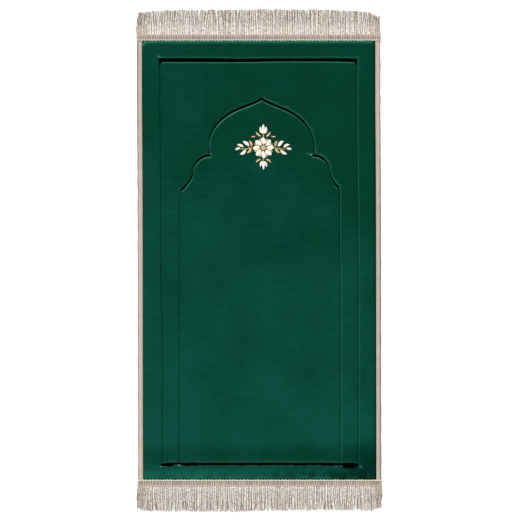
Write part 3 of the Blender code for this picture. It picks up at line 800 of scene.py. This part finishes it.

# ---------------------------------------------------------------------------------------------
# The bindings. A beige woven tape is folded round each long edge and sewn down through both of
# its legs, close to its inner edge. The stitches pucker it, and painted shade darkens its fold.

TAPE_PITCH = 0.0051  # from one pucker to the next
TAPE_RIB = 0.0025  # the tape's own ribs are about 0.8 mm apart, drawn coarser to show at all
TAPE_SLANT = 0.55  # how far puckers and ribs lean along the rug, for each length inward
TAPE_STEP = 0.0008  # of the mesh
TAPE_WAVER = 0.0002  # how uneven its edge is
PUCKER_OUT, PUCKER_UP, RIB_UP = 0.00022, 0.00016, 0.00010
STITCH_INWARD = 0.0098
STITCH_HEIGHT = 0.00475
STITCH_MARGIN = 0.004  # without stitches, at each end
STITCH_PITCH = 0.0042
STITCH_LENGTH = 0.0033
STITCH_RADIUS = 0.00045
STITCH_SINK = 0.00042  # how far a stitch's ends dip into the tape
STITCH_LEAN = 0.00012
STITCH_RINGS, STITCH_SIDES = 7, 6

# The folded tape's section: how far in from the edge, how high, and how free it is to pucker. The
# last five points are the inside of the fold.
TAPE_SECTION = (
    (0.0129, 0.00400, 0.3),
    (0.0125, 0.00462, 0.6),
    (0.0108, 0.00466, 0.8),
    (0.0098, 0.00448, 0.5),
    (0.0088, 0.00472, 0.9),
    (0.0070, 0.00496, 1.0),
    (0.0052, 0.00494, 1.0),
    (0.0036, 0.00470, 1.0),
    (0.0023, 0.00432, 1.0),
    (0.0011, 0.00372, 1.0),
    (0.0003, 0.00300, 1.0),
    (0.0000, 0.00225, 1.0),
    (0.0003, 0.00135, 0.5),
    (0.0012, 0.00055, 0.2),
    (0.0026, 0.00000, 0.0),
    (0.0120, 0.00000, 0.0),
    (0.0120, 0.00110, 0.0),
    (0.0026, 0.00125, 0.0),
    (0.0014, 0.00225, 0.0),
    (0.0026, 0.00345, 0.0),
    (0.0127, 0.00362, 0.0),
)


def tube_faces(rings, sides):
    """The faces of a closed tube: quads between its rings of points, and a cap at each end."""
    near = np.arange(rings * sides).reshape(rings, sides)
    beyond = np.roll(near, -1, axis=1)
    quads = np.stack([near[:-1], beyond[:-1], beyond[1:], near[1:]], axis=-1).reshape(-1, 4)
    return [tuple(face) for face in [*quads.tolist(), near[0].tolist(), near[-1, ::-1].tolist()]]


def mesh_from(parts):
    """One mesh from several sets of points and faces."""
    verts, faces, start = [], [], 0
    for points, polygons in parts:
        verts.append(np.reshape(points, (-1, 3)))
        faces += [tuple(corner + start for corner in face) for face in polygons]
        start += len(verts[-1])
    mesh = bpy.data.meshes.new("parts")
    mesh.from_pydata(np.concatenate(verts).tolist(), [], faces)
    mesh.update()
    return mesh


def binding_mesh(side):
    """A folded tape and the stitches along its inner edge. side is -1 on the left, 1 on the
    right."""
    y = np.linspace(-PAD_HALF_LENGTH, PAD_HALF_LENGTH, round(2 * PAD_HALF_LENGTH / TAPE_STEP) + 1)
    inward, z, free = np.array(TAPE_SECTION).T[:, None]
    uneven = TAPE_WAVER * swell(y, (0.110, 0.047), 60 + side)[:, None]
    slant = y[:, None] + TAPE_SLANT * inward
    pucker = np.sin(2 * math.pi * slant / TAPE_PITCH + 2.5 * swell(y, (0.09,), 62 + side)[:, None])
    rib = np.abs(np.sin(math.pi * slant / TAPE_RIB))
    outermost = np.clip(1 - inward / 0.005, 0, 1)
    x = inward + free * (uneven * (0.5 + outermost) + PUCKER_OUT * pucker * outermost)
    up = z + free * (PUCKER_UP * pucker + RIB_UP * rib)
    points = np.stack([side * (BODY_WIDTH / 2 - x), np.broadcast_to(y[:, None], x.shape), up], -1)
    parts = [(bowed(points), tube_faces(*x.shape))]

    sewn = PAD_HALF_LENGTH - STITCH_MARGIN
    along = np.linspace(-1, 1, STITCH_RINGS)
    around = np.linspace(0, 2 * math.pi, STITCH_SIDES, endpoint=False)
    sink = STITCH_SINK * np.abs(along) ** 3
    thin = STITCH_RADIUS * np.sqrt(np.clip(1.05 - along**4, 0.1, 1))
    for number, middle in enumerate(np.arange(-sewn, sewn, STITCH_PITCH)):
        lean = STITCH_LEAN * math.sin(2.1 * number)
        stitch_x = STITCH_INWARD + lean * along[:, None] + thin[:, None] * np.cos(around)
        stitch_y = np.broadcast_to((middle + along * STITCH_LENGTH / 2)[:, None], stitch_x.shape)
        stitch_z = STITCH_HEIGHT - sink[:, None] + thin[:, None] * np.sin(around)
        rings = np.stack([side * (BODY_WIDTH / 2 - stitch_x), stitch_y, stitch_z], -1)
        parts.append((bowed(rings), tube_faces(STITCH_RINGS, STITCH_SIDES)))
    return mesh_from(parts)


def tape_finish():
    """Woven polyester tape: fine ribs across it, a soft dull sheen, and painted shade on its fold.
    """
    material, tree, shader = start_finish(
        "woven polyester tape", {"Roughness": 0.75, "Specular IOR Level": 0.25}
    )
    place = add_node(tree, "TexCoord", {}, "Object")
    x, y, _ = add_node(tree, "SeparateXYZ", {0: place}).node.outputs
    out = add_node(tree, "Math", {0: x}, operation="ABSOLUTE")
    # Painted shade darkens the fold along an uneven edge, a little wider on the right.
    wander = add_node(tree, "TexNoise", {"Vector": place, "Scale": 1 / 0.006, "Detail": 2.0})
    wobble = add_node(tree, "MapRange", {0: wander, 1: 0.2, 2: 0.8, 3: -0.0010, 4: 0.0010})
    near = add_node(tree, "Math", {0: out, 1: wobble})
    edge = add_node(tree, "Math", {0: x, 1: 0.004, 2: near}, operation="MULTIPLY_ADD")
    shaded_fold = add_node(tree, "MapRange", {0: edge, 1: 0.3048, 2: 0.3078, 3: 0.0, 4: 1.0})
    # Each pucker is painted pale on one side and darker on the other, as painted light and shade.
    slant = add_node(tree, "Math", {0: out, 1: -TAPE_SLANT, 2: y}, operation="MULTIPLY_ADD")
    waves = add_node(tree, "Math", {0: slant, 1: 2 * math.pi / TAPE_PITCH}, operation="MULTIPLY")
    wave = add_node(tree, "Math", {0: waves}, operation="SINE")
    patch = add_node(tree, "TexNoise", {"Vector": place, "Scale": 1 / 0.02, "Detail": 3.0})
    tone_and_shade = add_node(tree, "Math", {0: wave, 1: 0.16, 2: patch}, operation="MULTIPLY_ADD")
    # The tape's own colour, and the same in painted shade for the fold.
    flat, painted_shade = (
        add_node(tree, "Mix", {0: tone_and_shade, 6: linear(dark), 7: linear(light)}, 2, data_type="RGBA")
        for dark, light in (("#9f8f82", "#b1a295"), ("#6c625b", "#8a8078"))
    )
    colour = add_node(tree, "Mix", {0: shaded_fold, 6: flat, 7: painted_shade}, 2, data_type="RGBA")
    tree.links.new(colour, shader.inputs["Base Color"])
    weft = {"Vector": place, "Scale": 1 / (2 * math.pi * 0.0008), "Distortion": 0.6}
    threads = add_node(tree, "TexWave", weft, 1, bands_direction="Y")
    bump = add_node(tree, "Bump", {"Height": threads, "Strength": 0.3, "Distance": 0.0002})
    tree.links.new(bump, shader.inputs["Normal"])
    return material


tape = tape_finish()
for node, side in (("binding_left", -1), ("binding_right", 1)):
    binding = add_piece(node + "_tape", binding_mesh(side), tape, node)

# ---------------------------------------------------------------------------------------------
# The fringe trims. A narrow braid is sewn over each end of the pad: a row of small pale loops
# towards the velvet, a row of close ribs, and some hundreds of twisted yarns that leave its outer
# edge, fall to the floor and lie on it in loose bunches.

BRAID_HALF = BODY_WIDTH / 2 + 0.0008
BRAID_FLOOR = BINDING_TOP + GAP
BRAID_BAND = 0.0138  # how wide its ribbed band is
BRAID_BACKING = 0.0009  # how thick it is between the ribs
RIBS = 140
RIB_HEIGHT = 0.0014
RIB_SLANT = 0.0009
RIB_STEPS = 8  # of the mesh, across each rib
LOOPS = 70
LOOP_STEPS = 14
LOOP_BASE = BODY_LENGTH / 2 - 0.0136
LOOP_DEPTH = 0.0020
CORD_SIDES = 6

# The ribs' section: how far in from the outer edge, and how high, as a share of the full height.
RIB_SECTION = (
    (0.0000, 0.20),
    (0.0004, 0.70),
    (0.0016, 0.90),
    (0.0030, 0.78),
    (0.0046, 0.95),
    (0.0062, 1.00),
    (0.0078, 0.72),
    (0.0094, 1.00),
    (0.0110, 0.95),
    (0.0122, 0.80),
    (0.0132, 0.55),
    (0.0138, 0.15),
)

# The cords along the looped edge. swing is how much of the loops' depth each of them takes.
Cord = namedtuple("Cord", "swing radius height")
CORDS = (Cord(1.0, 0.00085, 0.0010), Cord(0.42, 0.00100, 0.0013), Cord(0.0, 0.00080, 0.0018))

YARNS = 3 * RIBS
YARN_RADIUS = 0.00148
YARN_TURN = 0.0125  # length of yarn in which its two plies go once round each other
YARN_GROOVE = 0.78  # how thin a yarn is across its groove, against across its plies
YARN_RINGS, YARN_SIDES = 33, 6
YARN_BUNCH = 0.0051  # from one small bunch of yarns to the next
YARN_HEAP = 0.0024  # how much higher the top of a bunch lies than its foot
YARN_FALL = 0.030  # length in which the yarns come down to the floor
YARN_CORNER = (0.270, 0.040)  # where the looser corner yarns start, and in what width they loosen
YARN_STRAY = 0.00012  # how far a yarn strays from its place in the braid
YARN_START = (0.0004, 0.0006)  # how far inside the braid its end is, at least and more
YARN_SHORTER = (0.0020, 0.0008)  # how much shorter it may be by itself, and with its neighbours
YARN_LEANS = ((0.0022, (0.031, 0.014), 2), (0.0025, (0.080,), 3), (0.0011, (0.0085, 0.0062), 6))
YARN_LEAN = 0.0003  # and by itself
YARN_CURL = (0.0002, 0.0006)
YARN_RIPPLE = 0.0004
YARN_LIMIT = (0.0012, 0.0016)  # how far past the braid's ends it may be there, and half way down

# How far each fringe reaches from the rug's middle, and how far its yarns bow out and lean.
Edge = namedtuple("Edge", "x reach knee_shift tip_shift")
TOP_FRINGE = (
    Edge(-0.3100, 0.6322, -0.0022, 0.0012),
    Edge(-0.2900, 0.6335, -0.0012, 0.0010),
    Edge(-0.2500, 0.6375, 0.0000, 0.0000),
    Edge(0.0000, 0.6400, 0.0000, 0.0000),
    Edge(0.1900, 0.6390, 0.0000, -0.0005),
    Edge(0.2400, 0.6360, 0.0000, -0.0015),
    Edge(0.2850, 0.6335, -0.0002, -0.0040),
    Edge(0.3100, 0.6230, 0.0000, -0.0070),
)
FOOT_FRINGE = (
    Edge(-0.3100, 0.6305, -0.0022, -0.0008),
    Edge(-0.2950, 0.6380, -0.0015, -0.0005),
    Edge(-0.0600, 0.6400, 0.0000, 0.0000),
    Edge(0.0200, 0.6370, 0.0000, 0.0000),
    Edge(0.2000, 0.6357, 0.0000, 0.0000),
    Edge(0.2850, 0.6365, 0.0010, 0.0000),
    Edge(0.3100, 0.6290, 0.0022, 0.0005),
)


def braid_mesh(end):
    """The braid's ribbed band, one closed strip. end is 1 at the arch and -1 at the foot."""
    inward, crown = np.array(RIB_SECTION).T
    x = np.linspace(-BRAID_HALF, BRAID_HALF, RIBS * RIB_STEPS + 1)
    rib = np.abs(np.sin(math.pi * RIBS * (x + BRAID_HALF) / (2 * BRAID_HALF))) ** 0.8
    own = np.repeat(np.random.default_rng(81 + end).uniform(0.72, 1.06, RIBS), RIB_STEPS)
    own = np.append(own, own[-1])
    across = x[:, None] + RIB_SLANT * (inward / BRAID_BAND - 0.5)
    uneven = 0.0003 * swell(x, (0.006, 0.011), 90 + end)
    along = end * (BODY_LENGTH / 2 - inward - uneven[:, None])
    up = BRAID_FLOOR + BRAID_BACKING + RIB_HEIGHT * crown * (rib * own)[:, None]
    top = np.stack([across, along, up], -1)
    under = top[:, ::-1].copy()
    under[..., 2] = BRAID_FLOOR
    rings = np.concatenate([top, under], axis=1)
    return mesh_from([(bowed(rings), tube_faces(*rings.shape[:2]))])


def rings_round(path, angle, radius):
    """Rings of points round a path, at angles and distances from it."""
    along = np.gradient(path, axis=-2)
    along /= np.linalg.norm(along, axis=-1)[..., None]
    across = np.cross(along, (0, 0, 1))
    across /= np.linalg.norm(across, axis=-1)[..., None]
    up = np.cross(across, along)
    out = np.cos(angle)[..., None] * across[..., None, :]
    out = out + np.sin(angle)[..., None] * up[..., None, :]
    return path[..., None, :] + np.asarray(radius)[..., None] * out


def loops_mesh(end):
    """The row of small loops at the braid's inner edge: two scalloped cords, one inside the other,
    and a straight one."""
    x = np.linspace(-BRAID_HALF, BRAID_HALF, LOOPS * LOOP_STEPS + 1)
    share = (x + BRAID_HALF) / (2 * BRAID_HALF / LOOPS)
    scallop = np.abs(np.sin(math.pi * share)) ** 1.05
    uneven = 0.0003 * np.sin(1.7 * np.floor(share)) + 0.0006
    around = np.linspace(0, 2 * math.pi, CORD_SIDES, endpoint=False)
    parts = []
    for cord in CORDS:
        y = LOOP_BASE - cord.swing * (LOOP_DEPTH * scallop + uneven)
        z = BRAID_FLOOR + cord.height + 0.0003 * scallop
        path = bowed(np.column_stack([x, end * y, z]))
        parts.append((rings_round(path, around, cord.radius), tube_faces(len(x), CORD_SIDES)))
    return mesh_from(parts)


def at_corner(root):
    """How much a yarn is one of the looser ones at the rug's corners."""
    start, width = YARN_CORNER
    return np.clip((np.abs(root) - start) / width, 0, 1)


def yarn_paths(end, table, seed, draw):
    """The yarns' paths from the braid to their tips, where each leaves the braid, and how high it
    lies in its bunch."""
    half = BRAID_HALF - YARN_RADIUS
    root = np.linspace(-half, half, YARNS)
    wave = 2 * math.pi * root / YARN_BUNCH + 1.5 * swell(root, (0.070, 0.026), seed + 5)
    high = 0.5 + 0.5 * np.sin(wave)
    root = root + draw.normal(0, YARN_STRAY, YARNS)
    share = np.linspace(0, 1, YARN_RINGS)
    alone, together = YARN_SHORTER
    reach = table_value(table, "x", "reach", root) - draw.uniform(0.0, alone, YARNS)
    reach -= together * (0.5 + 0.5 * swell(root, (0.05, 0.02), seed + 1))
    least, more = YARN_START
    start = (BODY_LENGTH / 2 - least - draw.uniform(0, more, YARNS))[:, None]
    y = start + share * (reach[:, None] - start)
    fall = np.clip((y - BODY_LENGTH / 2) / YARN_FALL, 0, 1)
    fall = fall * fall * (3 - 2 * fall)
    lying = YARN_RADIUS * 0.85 + high * YARN_HEAP + draw.uniform(0, 0.0010, YARNS)
    leaving = BRAID_FLOOR + BRAID_BACKING + 0.0008 * high
    z = leaving[:, None] + fall * (lying - leaving)[:, None]
    ripple = np.sin(2 * math.pi * (share * 1.7 + draw.uniform(0, 1, YARNS)[:, None]))
    z += fall * YARN_RIPPLE * ripple
    knee = table_value(table, "x", "knee_shift", root)[:, None]
    tip = table_value(table, "x", "tip_shift", root)[:, None]
    lean = sum(most * swell(root, lengths, seed + own) for most, lengths, own in YARN_LEANS)
    lean += draw.normal(0, YARN_LEAN, YARNS)
    corner = at_corner(root)[:, None]
    curl = draw.uniform(*YARN_CURL, YARNS)[:, None] * (1 + 1.6 * corner)
    turns = draw.uniform(0.8, 1.8, YARNS)[:, None] * (1 + corner)
    turned = share * turns + draw.uniform(0, 1, YARNS)[:, None]
    x = root[:, None] + knee * np.sin(math.pi * np.clip(share * 1.3, 0, 1)) + tip * share
    x = x + lean[:, None] * share**2 + curl * share * np.sin(2 * math.pi * turned)
    limit = BRAID_HALF + YARN_LIMIT[0] + YARN_LIMIT[1] * np.sin(math.pi * share)
    return bowed(np.stack([np.clip(x, -limit, limit), end * y, z], -1)), root, high


def yarns_mesh(end, table, seed):
    """The yarns of one trim, each two plies twisted together. end is 1 or -1."""
    draw = np.random.default_rng(seed)
    path, root, high = yarn_paths(end, table, seed, draw)
    steps = np.linalg.norm(np.diff(path, axis=1), axis=2)
    length = np.concatenate([np.zeros((YARNS, 1)), np.cumsum(steps, axis=1)], 1)
    twist = 2 * math.pi * length / (YARN_TURN * draw.uniform(0.9, 1.15, YARNS)[:, None])
    twist = twist + draw.uniform(0, 2 * math.pi, YARNS)[:, None]
    angle = twist[..., None] + np.linspace(0, 2 * math.pi, YARN_SIDES, endpoint=False)
    ply = np.array([1.0, YARN_GROOVE, YARN_GROOVE, 1.0, YARN_GROOVE, YARN_GROOVE])
    thick = YARN_RADIUS * draw.uniform(0.88, 1.08, YARNS)[:, None] * np.ones(YARN_RINGS)
    thick[:, -1] *= 0.8
    rings = rings_round(path, angle, thick[..., None] * ply)
    rings[..., 2] = np.maximum(rings[..., 2], 0.00005)
    mesh = mesh_from([(ring, tube_faces(YARN_RINGS, YARN_SIDES)) for ring in rings])

    # Each vertex keeps its yarn's tone, whether it is on a ply or in the groove, and how far down
    # the yarn it is. A yarn that lies lower in its bunch has a darker tone, as painted shade.
    own = high * (0.82 + 0.16 * swell(root, (0.019, 0.012), seed + 7))
    own = np.clip(own + draw.uniform(-0.15, 0.15, YARNS), 0, 1) * (1 - 0.60 * at_corner(root))
    crest = (ply - YARN_GROOVE) / (1 - YARN_GROOVE)
    down = np.linspace(0, 1, YARN_RINGS)[:, None]
    own = own[:, None, None]
    kept = [np.broadcast_to(part, rings.shape[:3]) for part in (own, crest, down, 1.0)]
    attribute = mesh.color_attributes.new("yarn", "FLOAT_COLOR", "POINT")
    attribute.data.foreach_set("color", np.stack(kept, -1).reshape(-1).astype(np.float32))
    return mesh


def yarn_finish():
    """Twisted viscose yarn: a soft painted lustre on the plies, and painted shade where they meet.
    """
    material, tree, shader = start_finish(
        "twisted viscose yarn", {"Roughness": 0.60, "Specular IOR Level": 0.20}
    )
    yarn = add_node(tree, "Attribute", {}, "Color", attribute_name="yarn")
    tone_and_shade, crest, down = add_node(tree, "SeparateColor", {0: yarn}).node.outputs
    root, tips = (
        add_node(tree, "Mix", {0: tone_and_shade, 6: linear(dark), 7: linear(light)}, 2, data_type="RGBA")
        for dark, light in (("#bba695", "#fffefa"), ("#9f8b7a", "#fffaf2"))
    )
    along = add_node(tree, "MapRange", {0: down, 1: 0.05, 2: 0.75, 3: 0.0, 4: 1.0})
    ply = add_node(tree, "Mix", {0: along, 6: root, 7: tips}, 2, data_type="RGBA")
    # Painted shade in the groove between the plies, and painted glints drawn out along the yarn.
    groove_shade = add_node(tree, "MapRange", {0: crest, 1: 0.0, 2: 0.9, 3: 0.60, 4: 1.0})
    place = add_node(tree, "TexCoord", {}, "Object")
    glints = add_node(tree, "Mapping", {"Vector": place, "Scale": (1.0, 0.50, 1.0)})
    glint = add_node(tree, "TexNoise", {"Vector": glints, "Scale": 1 / 0.0030, "Detail": 1.0})
    painted_lustre = add_node(tree, "MapRange", {0: glint, 1: 0.38, 2: 0.60, 3: 0.72, 4: 1.16})
    shade_and_glints = add_node(tree, "Math", {0: groove_shade, 1: painted_lustre}, operation="MULTIPLY")
    colour = add_node(
        tree, "Mix", {0: 1.0, 6: ply, 7: shade_and_glints}, 2, data_type="RGBA", blend_type="MULTIPLY"
    )
    tree.links.new(colour, shader.inputs["Base Color"])
    return material


def rib_finish():
    """Close ribs of the same yarn, with painted shade darkening it low down between the ribs."""
    material, tree, shader = start_finish(
        "ribbed braid", {"Roughness": 0.7, "Specular IOR Level": 0.25}
    )
    place = add_node(tree, "TexCoord", {}, "Object")
    _, y, z = add_node(tree, "SeparateXYZ", {0: place}).node.outputs
    low, top = BRAID_FLOOR + 0.0012, BRAID_FLOOR + 0.0022
    # Painted shade: the braid is darker the lower it lies between its ribs.
    high = add_node(tree, "MapRange", {0: z, 1: low, 2: top, 3: 0.0, 4: 1.0})
    shades = {0: high, 6: linear("#57493f"), 7: linear("#b9a899")}
    ribbed = add_node(tree, "Mix", shades, 2, data_type="RGBA")
    # Towards the yarns it is as pale as they are.
    out = add_node(tree, "Math", {0: y}, operation="ABSOLUTE")
    outward = add_node(tree, "MapRange", {0: out, 1: 0.5700, 2: 0.5755, 3: 0.0, 4: 0.55})
    shades = {0: outward, 6: ribbed, 7: linear("#dccdc0")}
    colour = add_node(tree, "Mix", shades, 2, data_type="RGBA")
    tree.links.new(colour, shader.inputs["Base Color"])
    return material


yarn_look, rib_look = yarn_finish(), rib_finish()
# The loops are a smooth pale cord, of one colour all over.
loop_look, _, _ = start_finish(
    "braid loop cord", {"Roughness": 0.6, "Base Color": linear("#b0aea0")}
)
for node, end, table, seed in (
    ("fringe_top", 1, TOP_FRINGE, 101),
    ("fringe_bottom", -1, FOOT_FRINGE, 201),
):
    braid, loops, yarns = (
        add_piece(node + part, mesh, look, node)
        for part, mesh, look in (
            ("_braid", braid_mesh(end), rib_look),
            ("_loops", loops_mesh(end), loop_look),
            ("_yarns", yarns_mesh(end, table, seed), yarn_look),
        )
    )

# ---------------------------------------------------------------------------------------------
# The embroidered motif under the arch: an eight-petalled rosette between leafy sprays and buds,
# in cream and gold thread. Each leaf and petal is filled with close satin stitches laid across it.

MOTIF = (0.0100, 0.2860)  # its middle
THREAD_PITCH = 0.0007  # real threads are about 0.4 mm apart; drawn coarser to show at all
THREAD_HALF = 0.62 * THREAD_PITCH
THREAD_SLANT = 0.35
THREAD_STEPS = 7
SATIN_LIFT = 0.0011
SATIN_LEAST = 0.0004  # half the length of the shortest stitches
SATIN_UNEVEN = 0.0001
# A thread's section: places across it, in its half widths, and how high each is.
THREAD_SECTION = ((-1.0, -0.0006), (-0.45, 0.00005), (0.45, 0.00005), (1.0, -0.0006))

# Each blade's start, the handle that bends it, its end and half its width in millimetres, and where
# along it it is widest.
Blade = namedtuple("Blade", "start bend end half widest")


def mirrored(blades):
    """The blades and their mirror images to the left."""
    flipped = []
    for blade in blades:
        curve = [(-x, y) for x, y in (blade.start, blade.bend, blade.end)]
        flipped.append(Blade(*curve, blade.half, blade.widest))
    return [*blades, *flipped]


def rosette(inner, outer, half, widest, first, count):
    """Blades set round a middle point, as petals."""
    petals = []
    for number in range(count):
        turn = math.radians(first + 360 * number / count)
        way = (math.sin(turn), math.cos(turn))
        curve = [(out * way[0], out * way[1]) for out in (inner, (inner + outer) / 2, outer)]
        petals.append(Blade(*curve, half, widest))
    return petals


PALE_BLADES = (
    rosette(7.5, 27.0, 6.2, 0.62, 0, 8)
    + mirrored(
        [
            Blade((37, 3), (42, 13), (52, 17), 4.2, 0.45),
            Blade((44, -5), (50, -15), (60, -16), 4.0, 0.45),
            Blade((51, 1), (60, 10), (67, 7), 3.4, 0.45),
            Blade((59, -2), (66, -1), (72, -5), 3.2, 0.45),
            Blade((1.5, 36), (9, 44), (7, 54), 3.6, 0.40),
            Blade((1.5, -34), (8, -40), (8, -49), 3.0, 0.40),
        ]
    )
    + [Blade((0, 36), (0, 47), (0, 60), 4.4, 0.45), Blade((0, -34), (0, -44), (0, -56), 3.6, 0.45)]
)
GOLD_BLADES = (
    rosette(9.0, 25.5, 1.7, 0.72, 22.5, 8)
    + rosette(0.6, 6.4, 2.3, 0.75, 0, 8)
    + mirrored(
        [
            Blade((28, 2), (44, -6), (62, -2), 1.1, 0.40),
            Blade((31, 0), (33, -10), (42, -13), 3.2, 0.45),
            Blade((30, 3), (30, 13), (36, 18), 3.0, 0.45),
            Blade((6, 29), (15, 32), (18, 41), 2.6, 0.45),
            Blade((6, -29), (15, -31), (19, -38), 2.4, 0.45),
            Blade((20, 29), (26, 27), (31, 29), 1.8, 0.5),
        ]
    )
    + [Blade((0, 26), (0, 31), (0, 37), 1.2, 0.5), Blade((0, -26), (0, -30), (0, -35), 1.2, 0.5)]
)


def satin_parts(blade, seed):
    """The stitches of one blade: each a low arched thread from one edge to the other."""
    draw = np.random.default_rng(seed)
    start, bend, end = (np.array(point) / 1000 for point in (blade.start, blade.bend, blade.end))
    t = np.linspace(0, 1, 200)[:, None]
    spine = (1 - t) ** 2 * start + 2 * t * (1 - t) * bend + t * t * end
    length = np.concatenate([[0], np.cumsum(np.hypot(*np.diff(spine, axis=0).T))])
    count = max(4, round(length[-1] / THREAD_PITCH))
    share = (np.arange(count) + 0.5) / count
    middle = np.column_stack([np.interp(share * length[-1], length, spine[:, i]) for i in (0, 1)])
    ahead = np.gradient(middle, axis=0)
    ahead /= np.hypot(*ahead.T)[:, None]
    side = np.column_stack([-ahead[:, 1], ahead[:, 0]])
    rising = np.clip(share / blade.widest, 0, 1)
    falling = np.clip((share - blade.widest) / (1 - blade.widest), 0, 1)
    bulge = np.sin(math.pi / 2 * rising) ** 0.8 * np.cos(math.pi / 2 * falling) ** 0.9
    half = np.maximum(blade.half / 1000 * bulge, SATIN_LEAST)
    half += draw.uniform(-SATIN_UNEVEN, SATIN_UNEVEN, count)
    base, _ = pad_face(middle + MOTIF)
    across = np.linspace(-1, 1, THREAD_STEPS)
    arch = np.sqrt(np.clip(1 - across**2, 0, 1))
    parts = []
    for place, way, out, wide, z in zip(middle + MOTIF, ahead, side, half, base):
        line = place + across[:, None] * wide * (out + THREAD_SLANT * way)
        up = z + SATIN_LIFT * min(1.0, 0.35 + wide / 0.004) * arch
        threads = [
            np.column_stack([line + offset * THREAD_HALF * way, up + height])
            for offset, height in THREAD_SECTION
        ]
        parts.append((np.stack(threads, 1), tube_faces(THREAD_STEPS, len(THREAD_SECTION))))
    return parts


def thread_finish(name, light, dark):
    """Rayon embroidery thread: a silky lustre, with flecks of painted sheen where the stitches lie
    differently.
    """
    material, tree, shader = start_finish(name, {"Roughness": 0.42, "Specular IOR Level": 0.5})
    place = add_node(tree, "TexCoord", {}, "Object")
    fleck = add_node(tree, "TexNoise", {"Vector": place, "Scale": 1 / 0.0022, "Detail": 2.0})
    spread = add_node(tree, "MapRange", {0: fleck, 1: 0.3, 2: 0.7})
    shades = {0: spread, 6: linear(dark), 7: linear(light)}
    colour = add_node(tree, "Mix", shades, 2, data_type="RGBA")
    tree.links.new(colour, shader.inputs["Base Color"])
    return material


for name, blades, light, dark in (
    ("pale", PALE_BLADES, "#efebe2", "#d5cec2"),
    ("gold", GOLD_BLADES, "#dcbd8a", "#b8935f"),
):
    parts = [part for seed, blade in enumerate(blades, 300) for part in satin_parts(blade, seed)]
    look = thread_finish(name + " rayon thread", light, dark)
    add_piece("motif_" + name, mesh_from(parts), look, None)

# ---------------------------------------------------------------------------------------------
# The floor, the light and the camera. The rug lies on a plain white floor under a broad soft
# light from beyond its head, a little to the left, and is seen from straight above.

FLOOR_SIZE = 30.0
FLOOR_DROP = 0.0002  # of the floor, so that the rug's underside isn't in the same plane
LIGHT_STRENGTH = 3.2
LIGHT_SPREAD = math.radians(24)
LIGHT_TURN = (math.radians(-42), math.radians(-8), 0)
STUDIO_STRENGTH = 0.85
FRAME_WIDTH = 1.3234  # how much of the floor the picture takes in
LENS = 200.0
SENSOR = 36.0
VIEW_X, VIEW_Y = 0.0014, 0.0006
VIEW_PLANE = 0.007  # the height at which that width is measured

bm = bmesh.new()
bmesh.ops.create_grid(bm, x_segments=1, y_segments=1, size=FLOOR_SIZE / 2)
floor_mesh = bpy.data.meshes.new("floor")
bm.to_mesh(floor_mesh)
bm.free()
floor = bpy.data.objects.new("floor", floor_mesh)
floor.location.z = -FLOOR_DROP
bpy.context.scene.collection.objects.link(floor)
floor_finish, _, _ = start_finish(
    "white floor", {"Roughness": 0.9, "Base Color": linear("#f4f4f4")}
)
floor_mesh.materials.append(floor_finish)

sun = bpy.data.lights.new("softbox", "SUN")
sun.energy = LIGHT_STRENGTH
sun.angle = LIGHT_SPREAD
key = bpy.data.objects.new("softbox", sun)
key.rotation_euler = LIGHT_TURN
bpy.context.scene.collection.objects.link(key)

world = bpy.data.worlds.new("studio")
world.use_nodes = True
background = world.node_tree.nodes["Background"]
background.inputs["Color"].default_value = (1.0, 1.0, 1.0, 1.0)
background.inputs["Strength"].default_value = STUDIO_STRENGTH
bpy.context.scene.world = world
bpy.context.scene.view_settings.view_transform = "Standard"

camera = bpy.data.cameras.new("camera")
camera.lens = LENS
camera.sensor_width = SENSOR
camera.clip_end = 100.0
viewer = bpy.data.objects.new("camera", camera)
viewer.location = (VIEW_X, VIEW_Y, VIEW_PLANE + FRAME_WIDTH * LENS / SENSOR)
bpy.context.scene.collection.objects.link(viewer)
bpy.context.scene.camera = viewer
